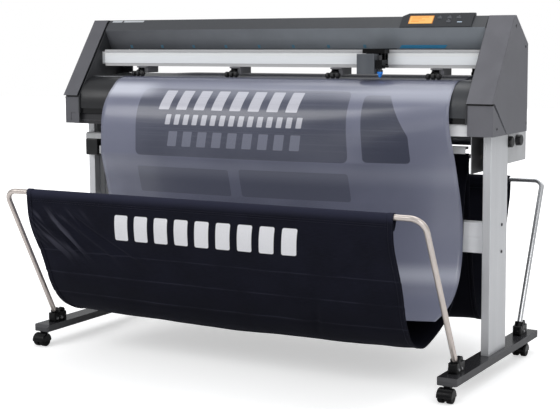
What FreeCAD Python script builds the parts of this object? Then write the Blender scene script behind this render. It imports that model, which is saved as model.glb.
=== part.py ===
"""Large-format roll-fed vinyl cutter on a stand with casters and a cloth media basket.

Model frame: X runs along the machine (positive to the operator's right as they face it),
Y runs front to back (the operator stands at negative Y) and Z points up. The origin is on
the floor, in the middle of the machine's footprint. The Y sizes below are measured from the
columns' centre line, and every finished piece is shifted to the footprint's middle at the end.
All sizes are in millimetres.
"""
import FreeCAD, Part
import math
import os

Vector = FreeCAD.Vector
X_AXIS, Y_AXIS, Z_AXIS = Vector(1, 0, 0), Vector(0, 1, 0), Vector(0, 0, 1)

# ---------------------------------------------------------------- driving dimensions
# Overall head
HALF_WIDTH = 773.0              # outer face of either end cover
RIGHT_COVER_WIDTH = 79.5
LEFT_COVER_WIDTH = 58.0
COVER_FRONT_Y = -163.0           # foot of the long front slope
LOWER_COVER_FRONT_Y = -152.0     # front of the lower corner, tucked under the slope
COVER_REAR_Y = 144.0
COVER_TOP_Z = 1082.0
COVER_TOP_FRONT_Y = 20.0        # where the long front slope meets the flat top
COVER_TOP_REAR_Y = 36.0         # where the rear chamfer starts
COVER_CHAMFER_Z = 998.0         # where the rear chamfer ends
COVER_KNEE_Z = 827.0            # where the front slope meets the vertical front
COVER_BOTTOM_Z = 732.0
COVER_KNEE_REAR_Y = -141.0       # where the split line turns down
COVER_WALL = 3.0
COVER_SPLIT_Y = -31.0           # where the slanted split line meets the bottom edge
SPLIT_GAP = 5.5                 # dark gap between the upper cover and the lower one
SCREW_SEATS = [(33.0, 1050.0), (121.0, 989.0), (136.0, 755.0)]      # Y and Z on a cover's side
LOWER_SCREW_SEAT = (-118.0, 753.0)
SEAT_RADIUS, SEAT_DEPTH = 5.6, 1.4
INNER_RIGHT_X = HALF_WIDTH - RIGHT_COVER_WIDTH
INNER_LEFT_X = -HALF_WIDTH + LEFT_COVER_WIDTH

# Side plates that carry the rail, the platen and the feed shaft
PLATE = 4.0
PLATE_RIGHT_X = INNER_RIGHT_X - PLATE - 0.5
PLATE_LEFT_X = INNER_LEFT_X + 0.5
SPAN_LEFT_X = PLATE_LEFT_X + PLATE      # free span between the side plates
SPAN_RIGHT_X = PLATE_RIGHT_X
FIT_GAP = 0.2                           # gap between separate covers and plates

# Hood between the end covers
HOOD_BREAK_Y, HOOD_BREAK_Z = -1.0, 1047.0
HOOD_TOP_Y, HOOD_TOP_Z = 30.0, 1081.5
HOOD_LIP_Y, HOOD_LIP_Z = 33.0, 982.0
HOOD_REAR_Z = 935.0
HOOD_WALL = 2.5

# Carriage rail
RAIL_FRONT_Y, RAIL_REAR_Y = -32.0, 8.0
RAIL_BOTTOM_Z, RAIL_TOP_Z = 925.0, 980.5
RAIL_LEFT_X = -690.0
RAIL_GROOVE_Z = 971.0
RAIL_GROOVE_HEIGHT, RAIL_GROOVE_DEPTH = 3.6, 5.0

# Feed drive behind the left side plate
FEED_MOTOR_Y, FEED_MOTOR_Z = 20.0, 835.0
FEED_MOTOR_PULLEY_RADIUS = 9.0
FEED_PULLEY_RADIUS = 22.0
FEED_BELT_X = PLATE_LEFT_X - 16.0

# Platen, feed shaft and front guide
PLATEN_Z = 890.0
PLATEN_FRONT_Y = -65.0
PLATEN_WALL = 3.0
GUIDE_RADIUS = 85.0
GUIDE_CENTRE_Y = PLATEN_FRONT_Y - 0.3
GUIDE_CENTRE_Z = PLATEN_Z - 1.0 - GUIDE_RADIUS
GUIDE_BOTTOM_Z = 783.0
SENSOR_BAND_BOTTOM_Z = 766.5
FEED_Y = -50.0
GRIT_RADIUS = 9.0
FEED_SHAFT_RADIUS = 6.0
GRIT_LENGTH = 60.0
GRIT_TOP_Z = 889.9
GRIT_POSITIONS = [-537.0, -350.0, -165.0, 20.0, 206.0, 376.0, 545.0]

# Pinch rollers
PINCH_POSITIONS = [-537.0, -165.0, 206.0, 545.0]
PINCH_ROLLER_RADIUS = 9.0
PINCH_ROLLER_BOTTOM_Z = 891.2
PINCH_PIVOT_Y, PINCH_PIVOT_Z = -12.0, 911.0

# Carriage and tool
CARRIAGE_X = 361.5              # middle of the carriage at rest
CARRIAGE_LEFT, CARRIAGE_RIGHT = -45.0, 30.0      # reach of its plate to either side
TOOL_X, TOOL_Y = 382.5, -80.0
TOOL_TIP_Z = 893.4
PEN_RADIUS = 6.0

# Timing belt of the carriage
BELT_Y, BELT_Z = 38.0, 960.0
SCAN_PULLEY_X, SCAN_IDLER_X = 668.0, -680.0
SCAN_PULLEY_RADIUS = 9.5
SCAN_PIN_RADIUS = 3.0
BELT_THICKNESS, BELT_WIDTH = 1.0, 8.0

# Base of the head and the bars beneath it
BEAM_HALF_LENGTH = 748.0
BEAM_HALF_DEPTH = 135.0
BEAM_BOTTOM_Z, BEAM_TOP_Z = 730.0, 766.0
UPPER_STAY_BOTTOM_Z, UPPER_STAY_TOP_Z = 676.0, 697.0
STOCK_ROLLER_Z = 701.0
STOCK_ROLLER_RADIUS = 15.0
STOCK_FRONT_Y, STOCK_REAR_Y = 90.5, 172.0
STOCK_PLATE_X = 731.0           # outer face of the stock bracket
STOCK_JOURNAL_RADIUS = 8.0
RUNNING_GAP = 0.08              # radial gap between a journal and its bore

# Stand
COLUMN_INNER_X, COLUMN_OUTER_X = 713.0, 739.0
COLUMN_HALF_DEPTH = 71.5
FOOT_INNER_X, FOOT_OUTER_X = 693.0, 754.0
FOOT_FRONT_Y, FOOT_REAR_Y = -368.0, 344.0
FOOT_BOTTOM_Z, FOOT_TOP_Z = 49.0, 71.0
FOOT_MID_X = (FOOT_INNER_X + FOOT_OUTER_X) / 2
CROSS_STAY_BOTTOM_Z, CROSS_STAY_TOP_Z = 371.0, 464.0
CROSS_STAY_FRONT_Y, CROSS_STAY_REAR_Y = -22.0, 15.0

# Casters
CASTER_FRONT_Y, CASTER_REAR_Y = -351.0, 272.0
CASTER_TRAIL = 14.0
CASTER_WHEEL_RADIUS = 20.0

# Media basket
PIPE_RADIUS = 8.5
PIPE_FRONT_BEND, PIPE_REAR_BEND = 42.0, 25.0
PIPE_X = 722.0
PIPE_FRONT_FOOT = (-295.0, 104.0)       # Y and Z where the front pipe meets its bracket
PIPE_FRONT_TOP = (-526.0, 539.0)
PIPE_REAR_FOOT = (247.0, 104.0)
PIPE_REAR_TOP = (459.0, 545.0)
CENTRE_ROD_Y, CENTRE_ROD_Z = 22.0, 659.0
CENTRE_ROD_RADIUS = 6.0
CLOTH_HALF_WIDTH = 636.0
CLOTH = 2.0                     # thickness of the cloth sheet as a solid
SLEEVE_GAP = 1.0
FOOTPRINT_MID_Y = (PIPE_FRONT_TOP[0] + PIPE_REAR_TOP[0]) / 2

# Sheet of film being cut
SHEET_LEFT_X, SHEET_RIGHT_X = -583.0, 640.0
SHEET = 0.6
SHEET_LIFT = 0.25               # air between the sheet and the bed

# Control panel on the sloped top of the hood
PANEL_LEFT_X, PANEL_RIGHT_X = 411.0, 644.0
PANEL_RISE = 9.5
LCD_LEFT_X, LCD_RIGHT_X = 436.0, 516.0
KEYS = [("key_menu", 535.0, 35.0), ("key_up", 567.0, 35.0), ("key_down", 567.0, 20.0),
        ("key_enter", 597.0, 35.0)]     # X and distance up the panel's slope
LEVER_X, LEVER_Z = 600.0, 970.0         # hub of the pinch lift lever, on the hood's back
SWITCH_X, SWITCH_Z = 730.0, 800.0       # mains switch, on the right cover's back


# ---------------------------------------------------------------- helpers
def box(x0, x1, y0, y1, z0, z1):
    """Axis-aligned block between two corners."""
    return Part.makeBox(x1 - x0, y1 - y0, z1 - z0, Vector(x0, y0, z0))


def rod(x, y, z, radius, length, axis=Z_AXIS):
    """Cylinder that starts at a point and runs along an axis."""
    return Part.makeCylinder(radius, length, Vector(x, y, z), axis)


def prism_x(outline, x0, x1):
    """Polygon of (Y, Z) points extruded along X."""
    points = [Vector(x0, y, z) for y, z in outline]
    face = Part.Face(Part.makePolygon(points + [points[0]]))
    return face.extrude(Vector(x1 - x0, 0, 0))


def prism_y(outline, y0, y1):
    """Polygon of (X, Z) points extruded along Y."""
    points = [Vector(x, y0, z) for x, z in outline]
    face = Part.Face(Part.makePolygon(points + [points[0]]))
    return face.extrude(Vector(0, y1 - y0, 0))


def strip_x(points, thickness, x0, x1):
    """Curved sheet: a smooth curve through (Y, Z) points, thickened and extruded along X."""
    middle = Part.BSplineCurve()
    middle.interpolate([Vector(x0, y, z) for y, z in points])
    samples = 3 * len(points)
    start, span = middle.FirstParameter, middle.LastParameter - middle.FirstParameter
    sides = []
    for half in (thickness / 2, -thickness / 2):
        offset_points = []
        for step in range(samples + 1):
            at = start + span * step / samples
            across = middle.tangent(at)[0].cross(X_AXIS)
            offset_points.append(middle.value(at) + across * half)
        side = Part.BSplineCurve()
        side.interpolate(offset_points)
        sides.append(side)
    front, back = sides
    wire = Part.Wire([
        front.toShape(),
        Part.makeLine(front.EndPoint, back.EndPoint),
        back.toShape(),
        Part.makeLine(back.StartPoint, front.StartPoint),
    ])
    return Part.Face(wire).extrude(Vector(x1 - x0, 0, 0))


def ring_x(y, z, outer, inner, x0, x1):
    """Tube along X."""
    return rod(x0, y, z, outer, x1 - x0, X_AXIS).cut(rod(x0, y, z, inner, x1 - x0, X_AXIS))


def rounded(shape, radius, chosen):
    """Fillet the edges for which chosen(edge) is true."""
    return shape.makeFillet(radius, [edge for edge in shape.Edges if chosen(edge)])


def along(edge, axis):
    """True for a straight edge parallel to the axis."""
    if len(edge.Vertexes) != 2 or not isinstance(edge.Curve, Part.Line):
        return False
    return abs(edge.Curve.Direction.dot(axis)) > 0.999


def swept_pipe(points, radius, bend):
    """Round bar along a polyline whose corners are bent to a radius."""
    edges = []
    start = points[0]
    for before, corner, after in zip(points, points[1:], points[2:]):
        into = (before - corner).normalize()
        out = (after - corner).normalize()
        half_angle = into.getAngle(out) / 2
        back_off = bend / math.tan(half_angle)
        first = corner + into * back_off
        last = corner + out * back_off
        middle_direction = (into + out).normalize()
        centre = corner + middle_direction * (bend / math.sin(half_angle))
        middle = centre - middle_direction * bend
        edges.append(Part.makeLine(start, first))
        edges.append(Part.Arc(first, middle, last).toShape())
        start = last
    edges.append(Part.makeLine(start, points[-1]))
    spine = Part.Wire(edges)
    direction = points[1] - points[0]
    profile = Part.Wire(Part.makeCircle(radius, points[0], direction))
    return spine.makePipeShell([profile], True, True)


def belt_loop(plane_point, axis, first, second, thickness, width):
    """Closed belt round two pulleys; first and second are (centre, radius)."""
    def hull(extra):
        (c1, r1), (c2, r2) = first, second
        r1, r2 = r1 + extra, r2 + extra
        line = c2 - c1
        tilt = math.acos((r1 - r2) / line.Length)
        along_line = line.normalize()
        across = axis.cross(along_line)
        points = []
        for side in (1, -1):
            normal = along_line * math.cos(tilt) + across * (side * math.sin(tilt))
            points.append((c1 + normal * r1, c2 + normal * r2))
        (a1, a2), (b1, b2) = points
        wire = Part.Wire([
            Part.makeLine(a1, a2),
            Part.Arc(a2, c2 + along_line * r2, b2).toShape(),
            Part.makeLine(b2, b1),
            Part.Arc(b1, c1 - along_line * r1, a1).toShape(),
        ])
        return Part.Face(wire).extrude(axis * width)
    loop = hull(thickness).cut(hull(0.0))
    loop.translate(plane_point)
    return loop


def mirrored_pair(shape):
    """The shape and its mirror image in the X = 0 plane."""
    return [shape, shape.mirror(Vector(0, 0, 0), X_AXIS)]


NODES = {}


def node(name, *solids):
    """Register the separate solids that make up one named piece."""
    NODES[name] = Part.makeCompound(list(solids)) if len(solids) > 1 else solids[0]


def rear_slope_z(y):
    """Height of the end covers' rear chamfer at a depth."""
    run = (y - COVER_TOP_REAR_Y) / (COVER_REAR_Y - COVER_TOP_REAR_Y)
    return COVER_TOP_Z + run * (COVER_CHAMFER_Z - COVER_TOP_Z)


# ---------------------------------------------------------------- stand
def build_feet():
    """Two flat bars with chamfered ends that lie front to back, with a solid pad under the column."""
    end_drop, end_run = 9.0, 7.0
    outline = [(FOOT_FRONT_Y, FOOT_BOTTOM_Z), (FOOT_REAR_Y, FOOT_BOTTOM_Z),
               (FOOT_REAR_Y, FOOT_TOP_Z - end_drop), (FOOT_REAR_Y - end_run, FOOT_TOP_Z),
               (FOOT_FRONT_Y + end_run, FOOT_TOP_Z), (FOOT_FRONT_Y, FOOT_TOP_Z - end_drop)]
    foot = prism_x(outline, FOOT_INNER_X, FOOT_OUTER_X)
    plan = box(FOOT_INNER_X, FOOT_OUTER_X, FOOT_FRONT_Y, FOOT_REAR_Y, FOOT_BOTTOM_Z, FOOT_TOP_Z)
    plan = rounded(plan, 9.0, lambda e: along(e, Z_AXIS))
    foot = foot.common(plan)
    wall, solid_end = 4.0, 90.0
    foot = foot.cut(box(FOOT_INNER_X + wall, FOOT_OUTER_X - wall, FOOT_FRONT_Y + solid_end,
                        FOOT_REAR_Y - solid_end, FOOT_BOTTOM_Z, FOOT_TOP_Z - wall))
    pad_drop = 1.0
    pad = box(FOOT_INNER_X + wall, FOOT_OUTER_X - wall, -COLUMN_HALF_DEPTH, COLUMN_HALF_DEPTH,
              FOOT_BOTTOM_Z - pad_drop, FOOT_TOP_Z - wall)
    foot = foot.fuse(pad).removeSplitter()
    node("feet", *mirrored_pair(foot))


def build_columns():
    """Hollow extrusions with grooves down their inner faces."""
    wall, groove, groove_depth = 3.0, 9.0, 5.0
    column = box(COLUMN_INNER_X, COLUMN_OUTER_X, -COLUMN_HALF_DEPTH, COLUMN_HALF_DEPTH,
                 FOOT_TOP_Z, BEAM_BOTTOM_Z)
    column = rounded(column, 2.5, lambda e: along(e, Z_AXIS))
    for y in (-45.0, -15.0, 15.0, 45.0):
        slot = box(COLUMN_INNER_X, COLUMN_INNER_X + groove_depth, y - groove / 2, y + groove / 2,
                   FOOT_TOP_Z, BEAM_BOTTOM_Z)
        column = column.cut(slot)
    hollow = box(COLUMN_INNER_X + groove_depth + wall, COLUMN_OUTER_X - wall,
                 -COLUMN_HALF_DEPTH + wall, COLUMN_HALF_DEPTH - wall, FOOT_TOP_Z, BEAM_BOTTOM_Z)
    column = column.cut(hollow)
    node("columns", *mirrored_pair(column))


def build_cross_stay():
    """Wide extrusion that ties the columns, with shallow lines along its front."""
    wall, line_height, line_depth = 3.0, 2.0, 1.0
    stay = box(-COLUMN_INNER_X, COLUMN_INNER_X, CROSS_STAY_FRONT_Y, CROSS_STAY_REAR_Y,
               CROSS_STAY_BOTTOM_Z, CROSS_STAY_TOP_Z)
    stay = rounded(stay, 2.0, lambda e: along(e, X_AXIS))
    stay = stay.cut(box(-COLUMN_INNER_X, COLUMN_INNER_X, CROSS_STAY_FRONT_Y + wall,
                        CROSS_STAY_REAR_Y - wall, CROSS_STAY_BOTTOM_Z + wall,
                        CROSS_STAY_TOP_Z - wall))
    middle = (CROSS_STAY_BOTTOM_Z + CROSS_STAY_TOP_Z) / 2
    stay = stay.cut(box(-COLUMN_INNER_X, COLUMN_INNER_X, CROSS_STAY_FRONT_Y,
                        CROSS_STAY_FRONT_Y + line_depth, middle, middle + line_height))
    node("cross_stay", stay)


def upper_stay():
    """Channel across the front of the stand, just under the head."""
    left_x, right_x = -729.0, 668.0
    front_y, rear_y = -98.0, -COLUMN_HALF_DEPTH - 0.5
    wall = 2.0
    stay = box(left_x, right_x, front_y, rear_y, UPPER_STAY_BOTTOM_Z, UPPER_STAY_TOP_Z)
    stay = rounded(stay, 8.0, lambda e: along(e, X_AXIS) and e.CenterOfMass.y < front_y + 1
                   and e.CenterOfMass.z > UPPER_STAY_TOP_Z - 1)
    stay = stay.cut(box(left_x, right_x, front_y + wall, rear_y,
                        UPPER_STAY_BOTTOM_Z, UPPER_STAY_TOP_Z - 8.0))
    return stay


def build_column_tops():
    """U-shaped brackets inside the column tops, and the plates that hold the stock rollers."""
    wall = 3.0
    channel_inner_x, channel_front_y, channel_rear_y = 670.0, -60.0, 60.0
    channel_bottom_z = 613.0
    outer_x = COLUMN_INNER_X - 0.3
    channel = box(channel_inner_x, outer_x, channel_front_y, channel_rear_y,
                  channel_bottom_z, BEAM_BOTTOM_Z)
    channel = channel.cut(box(channel_inner_x + wall, outer_x - wall, channel_front_y,
                              channel_rear_y - wall, channel_bottom_z, BEAM_BOTTOM_Z))
    channel = channel.cut(rod(channel_inner_x, CENTRE_ROD_Y, CENTRE_ROD_Z,
                              CENTRE_ROD_RADIUS + 0.3, COLUMN_INNER_X - channel_inner_x, X_AXIS))
    plate_bottom_z, plate_rear_y = 634.0, 258.0
    plate_front_y = COLUMN_HALF_DEPTH + 0.5
    plate = box(STOCK_PLATE_X - wall, STOCK_PLATE_X, plate_front_y, plate_rear_y,
                plate_bottom_z, BEAM_BOTTOM_Z)
    flange = box(COLUMN_INNER_X, STOCK_PLATE_X - wall, plate_front_y, plate_front_y + wall,
                 plate_bottom_z, BEAM_BOTTOM_Z)
    top = box(COLUMN_INNER_X, STOCK_PLATE_X - wall, plate_front_y + wall, BEAM_HALF_DEPTH,
              BEAM_BOTTOM_Z - wall, BEAM_BOTTOM_Z)
    holder = plate.fuse([flange, top]).removeSplitter()
    for y in (STOCK_FRONT_Y, STOCK_REAR_Y):
        holder = holder.cut(rod(STOCK_PLATE_X - wall, y, STOCK_ROLLER_Z,
                                STOCK_JOURNAL_RADIUS + RUNNING_GAP, wall, X_AXIS))
    node("upper_frame", upper_stay(), *(mirrored_pair(channel) + mirrored_pair(holder)))


def build_stock_rollers():
    """Two free-turning tubes at the back that carry the roll of film."""
    length_half = 700.0
    knob_radius, knob_length, shoulder = 17.0, 16.0, 0.5
    journal_end = STOCK_PLATE_X + shoulder
    for name, y in (("stock_roller_front", STOCK_FRONT_Y), ("stock_roller_rear", STOCK_REAR_Y)):
        tube = rod(-length_half, y, STOCK_ROLLER_Z, STOCK_ROLLER_RADIUS, 2 * length_half, X_AXIS)
        journal = rod(-journal_end, y, STOCK_ROLLER_Z, STOCK_JOURNAL_RADIUS, 2 * journal_end,
                      X_AXIS)
        roller = tube.fuse(journal)
        knob = rod(journal_end, y, STOCK_ROLLER_Z, knob_radius, knob_length, X_AXIS)
        knob = rounded(knob, 3.0, lambda e: e.CenterOfMass.x > journal_end + knob_length - 1)
        for step in range(6):
            angle = math.radians(60 * step + 30)
            notch = rod(journal_end + 5.0, y + (knob_radius + 1.5) * math.cos(angle),
                        STOCK_ROLLER_Z + (knob_radius + 1.5) * math.sin(angle),
                        4.0, knob_length, X_AXIS)
            knob = knob.cut(notch)
        roller = roller.fuse([knob, knob.mirror(Vector(0, 0, 0), X_AXIS)]).removeSplitter()
        roller = roller.cut(rod(-journal_end, y, STOCK_ROLLER_Z, 5.0, 2 * journal_end, X_AXIS))
        node(name, roller)


def build_casters():
    """Hooded twin-wheel casters; the stem turns in the foot and the wheels turn in the hood."""
    hood_radius, hood_inner, hood_half = 24.0, 21.3, 23.5
    web_half, wheel_inner, wheel_outer = 3.5, 4.3, 21.5
    cap_radius, cap_height = 15.0, 3.0
    axle_radius, axle_gap = 3.0, 0.06
    for side, x in (("left", -FOOT_MID_X), ("right", FOOT_MID_X)):
        for end, stem_y in (("front", CASTER_FRONT_Y), ("rear", CASTER_REAR_Y)):
            axle_y = stem_y - CASTER_TRAIL
            z = CASTER_WHEEL_RADIUS
            shell = rod(x - hood_half, axle_y, z, hood_radius, 2 * hood_half, X_AXIS)
            shell = rounded(shell, 6.0, lambda e: isinstance(e.Curve, Part.Circle))
            for low, high in ((web_half, hood_half - 1.6), (-hood_half + 1.6, -web_half)):
                shell = shell.cut(rod(x + low, axle_y, z, hood_inner, high - low, X_AXIS))
            keep_above = box(x - 30, x + 30, axle_y - 30, axle_y + 30, z - 2.0, z + 30)
            web_low = box(x - web_half, x + web_half, axle_y - 12, axle_y + 12, 8.0, z)
            shell = shell.common(keep_above).fuse(web_low)
            neck = box(x - web_half - 6, x + web_half + 6, axle_y + 4, stem_y + 9, 40.0,
                       FOOT_BOTTOM_Z - cap_height)
            cap = rod(x, stem_y, FOOT_BOTTOM_Z - cap_height, cap_radius, cap_height - 0.1)
            hood = shell.fuse([neck, cap]).removeSplitter()
            hood = hood.cut(rod(x - web_half, axle_y, z, axle_radius + axle_gap, 2 * web_half,
                                X_AXIS))
            node("caster_hood_%s_%s" % (end, side), hood)

            wheels = rod(x - wheel_outer, axle_y, z, axle_radius, 2 * wheel_outer, X_AXIS)
            for low in (wheel_inner, -wheel_outer):
                width = wheel_outer - wheel_inner
                disc = rod(x + low, axle_y, z, CASTER_WHEEL_RADIUS, width, X_AXIS)
                disc = rounded(disc, 3.5, lambda e: isinstance(e.Curve, Part.Circle))
                wheels = wheels.fuse(disc)
            node("caster_wheels_%s_%s" % (end, side), wheels.removeSplitter())


# ---------------------------------------------------------------- media basket
def leg_direction(foot, top):
    """Unit vector up a basket pipe's leg."""
    return Vector(0, top[0] - foot[0], top[1] - foot[1]).normalize()


def build_basket_frame():
    """Front and rear bent pipes, their brackets on the feet, and the centre rod."""
    socket_depth, cup_radius, cup_height = 24.0, 14.0, 34.0
    block_front, block_rear, block_height = 22.0, 44.0, 30.0
    lobe_radius, lobe_half = 12.0, 6.0
    brackets = []
    for name, foot, top, bend in (
            ("basket_front_pipe", PIPE_FRONT_FOOT, PIPE_FRONT_TOP, PIPE_FRONT_BEND),
            ("basket_rear_pipe", PIPE_REAR_FOOT, PIPE_REAR_TOP, PIPE_REAR_BEND)):
        lean = leg_direction(foot, top)
        lower_right = Vector(PIPE_X, foot[0], foot[1]) - lean * socket_depth
        upper_right = Vector(PIPE_X, top[0], top[1])
        upper_left = Vector(-upper_right.x, upper_right.y, upper_right.z)
        lower_left = Vector(-lower_right.x, lower_right.y, lower_right.z)
        node(name, swept_pipe([lower_left, upper_left, upper_right, lower_right],
                              PIPE_RADIUS, bend))

        start = lower_right - lean * 3.0
        cup = Part.makeCylinder(cup_radius, cup_height, start, lean)
        block = box(PIPE_X - 15, PIPE_X + 13, foot[0] - block_front, foot[0] + block_rear,
                    FOOT_TOP_Z, FOOT_TOP_Z + block_height)
        block = rounded(block, 6.0, lambda e: along(e, X_AXIS) or along(e, Z_AXIS))
        lobe_y = foot[0] + block_rear - lobe_radius
        lobe = rod(PIPE_X - lobe_half, lobe_y, FOOT_TOP_Z + block_height, lobe_radius,
                   2 * lobe_half, X_AXIS)
        above_foot = box(PIPE_X - 40, PIPE_X + 40, foot[0] - 60, foot[0] + 60,
                         FOOT_TOP_Z, FOOT_TOP_Z + 80)
        bracket = cup.fuse([block, lobe]).common(above_foot).removeSplitter()
        bore = Part.makeCylinder(PIPE_RADIUS + 0.1, cup_height * 2, lower_right, lean)
        bracket = bracket.cut(bore)
        brackets += mirrored_pair(bracket)
    node("basket_brackets", *brackets)

    length_half = COLUMN_INNER_X - 0.5
    node("basket_centre_rod", rod(-length_half, CENTRE_ROD_Y, CENTRE_ROD_Z, CENTRE_ROD_RADIUS,
                                  2 * length_half, X_AXIS))


def sleeve(y, z, radius):
    """Hem of cloth wrapped round a bar."""
    inner = radius + SLEEVE_GAP
    return ring_x(y, z, inner + CLOTH, inner, -CLOTH_HALF_WIDTH, CLOTH_HALF_WIDTH)


def build_basket_fabric():
    """Cloth hung as a W: a front pocket, a ridge over the centre rod and a rear pocket."""
    front_y, front_z = PIPE_FRONT_TOP
    rear_y, rear_z = PIPE_REAR_TOP
    mid = PIPE_RADIUS + SLEEVE_GAP + CLOTH / 2
    rod_mid = CENTRE_ROD_RADIUS + SLEEVE_GAP + CLOTH / 2
    tuck = 1.5                      # the sheet meets each sleeve just inside its outer skin
    front_pocket = [(front_y - mid + tuck, front_z - 2 * tuck), (-513, 428), (-474, 342),
                    (-434, 243), (-384, 170), (-341, 143), (-289, 128), (-193, 150), (-123, 194),
                    (-78, 245), (-46, 320), (-31, 400), (-27, 470), (-12, 560),
                    (CENTRE_ROD_Y - rod_mid, CENTRE_ROD_Z)]
    rear_pocket = [(CENTRE_ROD_Y + rod_mid, CENTRE_ROD_Z), (36, 560), (52, 458), (88, 351),
                   (137, 220), (192, 128), (252, 112), (316, 150), (376, 240), (428, 380),
                   (454, 470), (rear_y + mid - tuck, rear_z - 2 * tuck)]
    fabric = strip_x(front_pocket, CLOTH, -CLOTH_HALF_WIDTH, CLOTH_HALF_WIDTH)
    fabric = fabric.fuse([
        strip_x(rear_pocket, CLOTH, -CLOTH_HALF_WIDTH, CLOTH_HALF_WIDTH),
        sleeve(front_y, front_z, PIPE_RADIUS),
        sleeve(rear_y, rear_z, PIPE_RADIUS),
        sleeve(CENTRE_ROD_Y, CENTRE_ROD_Z, CENTRE_ROD_RADIUS),
    ])
    for y, z, radius in ((front_y, front_z, PIPE_RADIUS), (rear_y, rear_z, PIPE_RADIUS),
                         (CENTRE_ROD_Y, CENTRE_ROD_Z, CENTRE_ROD_RADIUS)):
        fabric = fabric.cut(rod(-CLOTH_HALF_WIDTH, y, z, radius + SLEEVE_GAP,
                                2 * CLOTH_HALF_WIDTH, X_AXIS))
    node("basket_fabric", fabric)


# ---------------------------------------------------------------- base of the head
def build_main_beam():
    """Hollow base beam that sits on the columns."""
    wall, seam_height, seam_depth = 2.5, 1.2, 0.8
    beam = box(-BEAM_HALF_LENGTH, BEAM_HALF_LENGTH, -BEAM_HALF_DEPTH, BEAM_HALF_DEPTH,
               BEAM_BOTTOM_Z, BEAM_TOP_Z)
    beam = rounded(beam, 2.0, lambda e: along(e, X_AXIS))
    beam = beam.cut(box(-BEAM_HALF_LENGTH, BEAM_HALF_LENGTH, -BEAM_HALF_DEPTH + wall,
                        BEAM_HALF_DEPTH - wall, BEAM_BOTTOM_Z + wall, BEAM_TOP_Z - wall))
    seam_z = BEAM_BOTTOM_Z + 12.0
    beam = beam.cut(box(-BEAM_HALF_LENGTH, BEAM_HALF_LENGTH, -BEAM_HALF_DEPTH,
                        -BEAM_HALF_DEPTH + seam_depth, seam_z, seam_z + seam_height))
    node("main_beam", beam)


def build_side_frames():
    """Side plates, the rear flange at the left, and the arms that hold the scan pulleys."""
    inset, small_inset = 8.0, 3.0
    rear_y = COVER_REAR_Y - inset
    outline = [(COVER_FRONT_Y + inset, BEAM_TOP_Z), (rear_y, BEAM_TOP_Z),
               (rear_y, rear_slope_z(rear_y) - inset),
               (COVER_TOP_REAR_Y, COVER_TOP_Z - inset),
               (COVER_TOP_FRONT_Y + small_inset, COVER_TOP_Z - inset),
               (COVER_FRONT_Y + inset, COVER_KNEE_Z - small_inset)]
    shaft_z = GRIT_TOP_Z - GRIT_RADIUS
    plates = []
    for x in (PLATE_LEFT_X, PLATE_RIGHT_X):
        plate = prism_x(outline, x, x + PLATE)
        plate = plate.cut(rod(x, FEED_Y, shaft_z, FEED_SHAFT_RADIUS + RUNNING_GAP, PLATE, X_AXIS))
        plates.append(plate)
    motor_hole_radius = 12.0
    motor_hole = rod(PLATE_LEFT_X, FEED_MOTOR_Y, FEED_MOTOR_Z, motor_hole_radius, PLATE, X_AXIS)
    plates[0] = plates[0].cut(motor_hole)
    flange_reach, flange_y, flange_bottom_z, flange_top_z = 42.0, 98.0, PLATEN_Z + 9.0, 928.0
    flange = box(SPAN_LEFT_X, SPAN_LEFT_X + flange_reach, flange_y, flange_y + PLATE,
                 flange_bottom_z, flange_top_z)
    plates[0] = plates[0].fuse(flange).removeSplitter()

    arm_z0, arm_z1 = BELT_Z + 8.0, BELT_Z + 11.0
    pin_drop, arm_half = 9.0, 12.0
    for index, (pulley_x, end_x) in enumerate(((SCAN_IDLER_X, SPAN_LEFT_X),
                                               (SCAN_PULLEY_X, SPAN_RIGHT_X))):
        low, high = sorted((end_x, pulley_x - math.copysign(arm_half, pulley_x)))
        arm = box(low, high, BELT_Y - arm_half, BELT_Y + arm_half, arm_z0, arm_z1)
        pin = rod(pulley_x, BELT_Y, BELT_Z - pin_drop, SCAN_PIN_RADIUS,
                  arm_z0 - BELT_Z + pin_drop)
        plates[index] = plates[index].fuse([arm, pin]).removeSplitter()
    node("side_frames", *plates)


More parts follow.
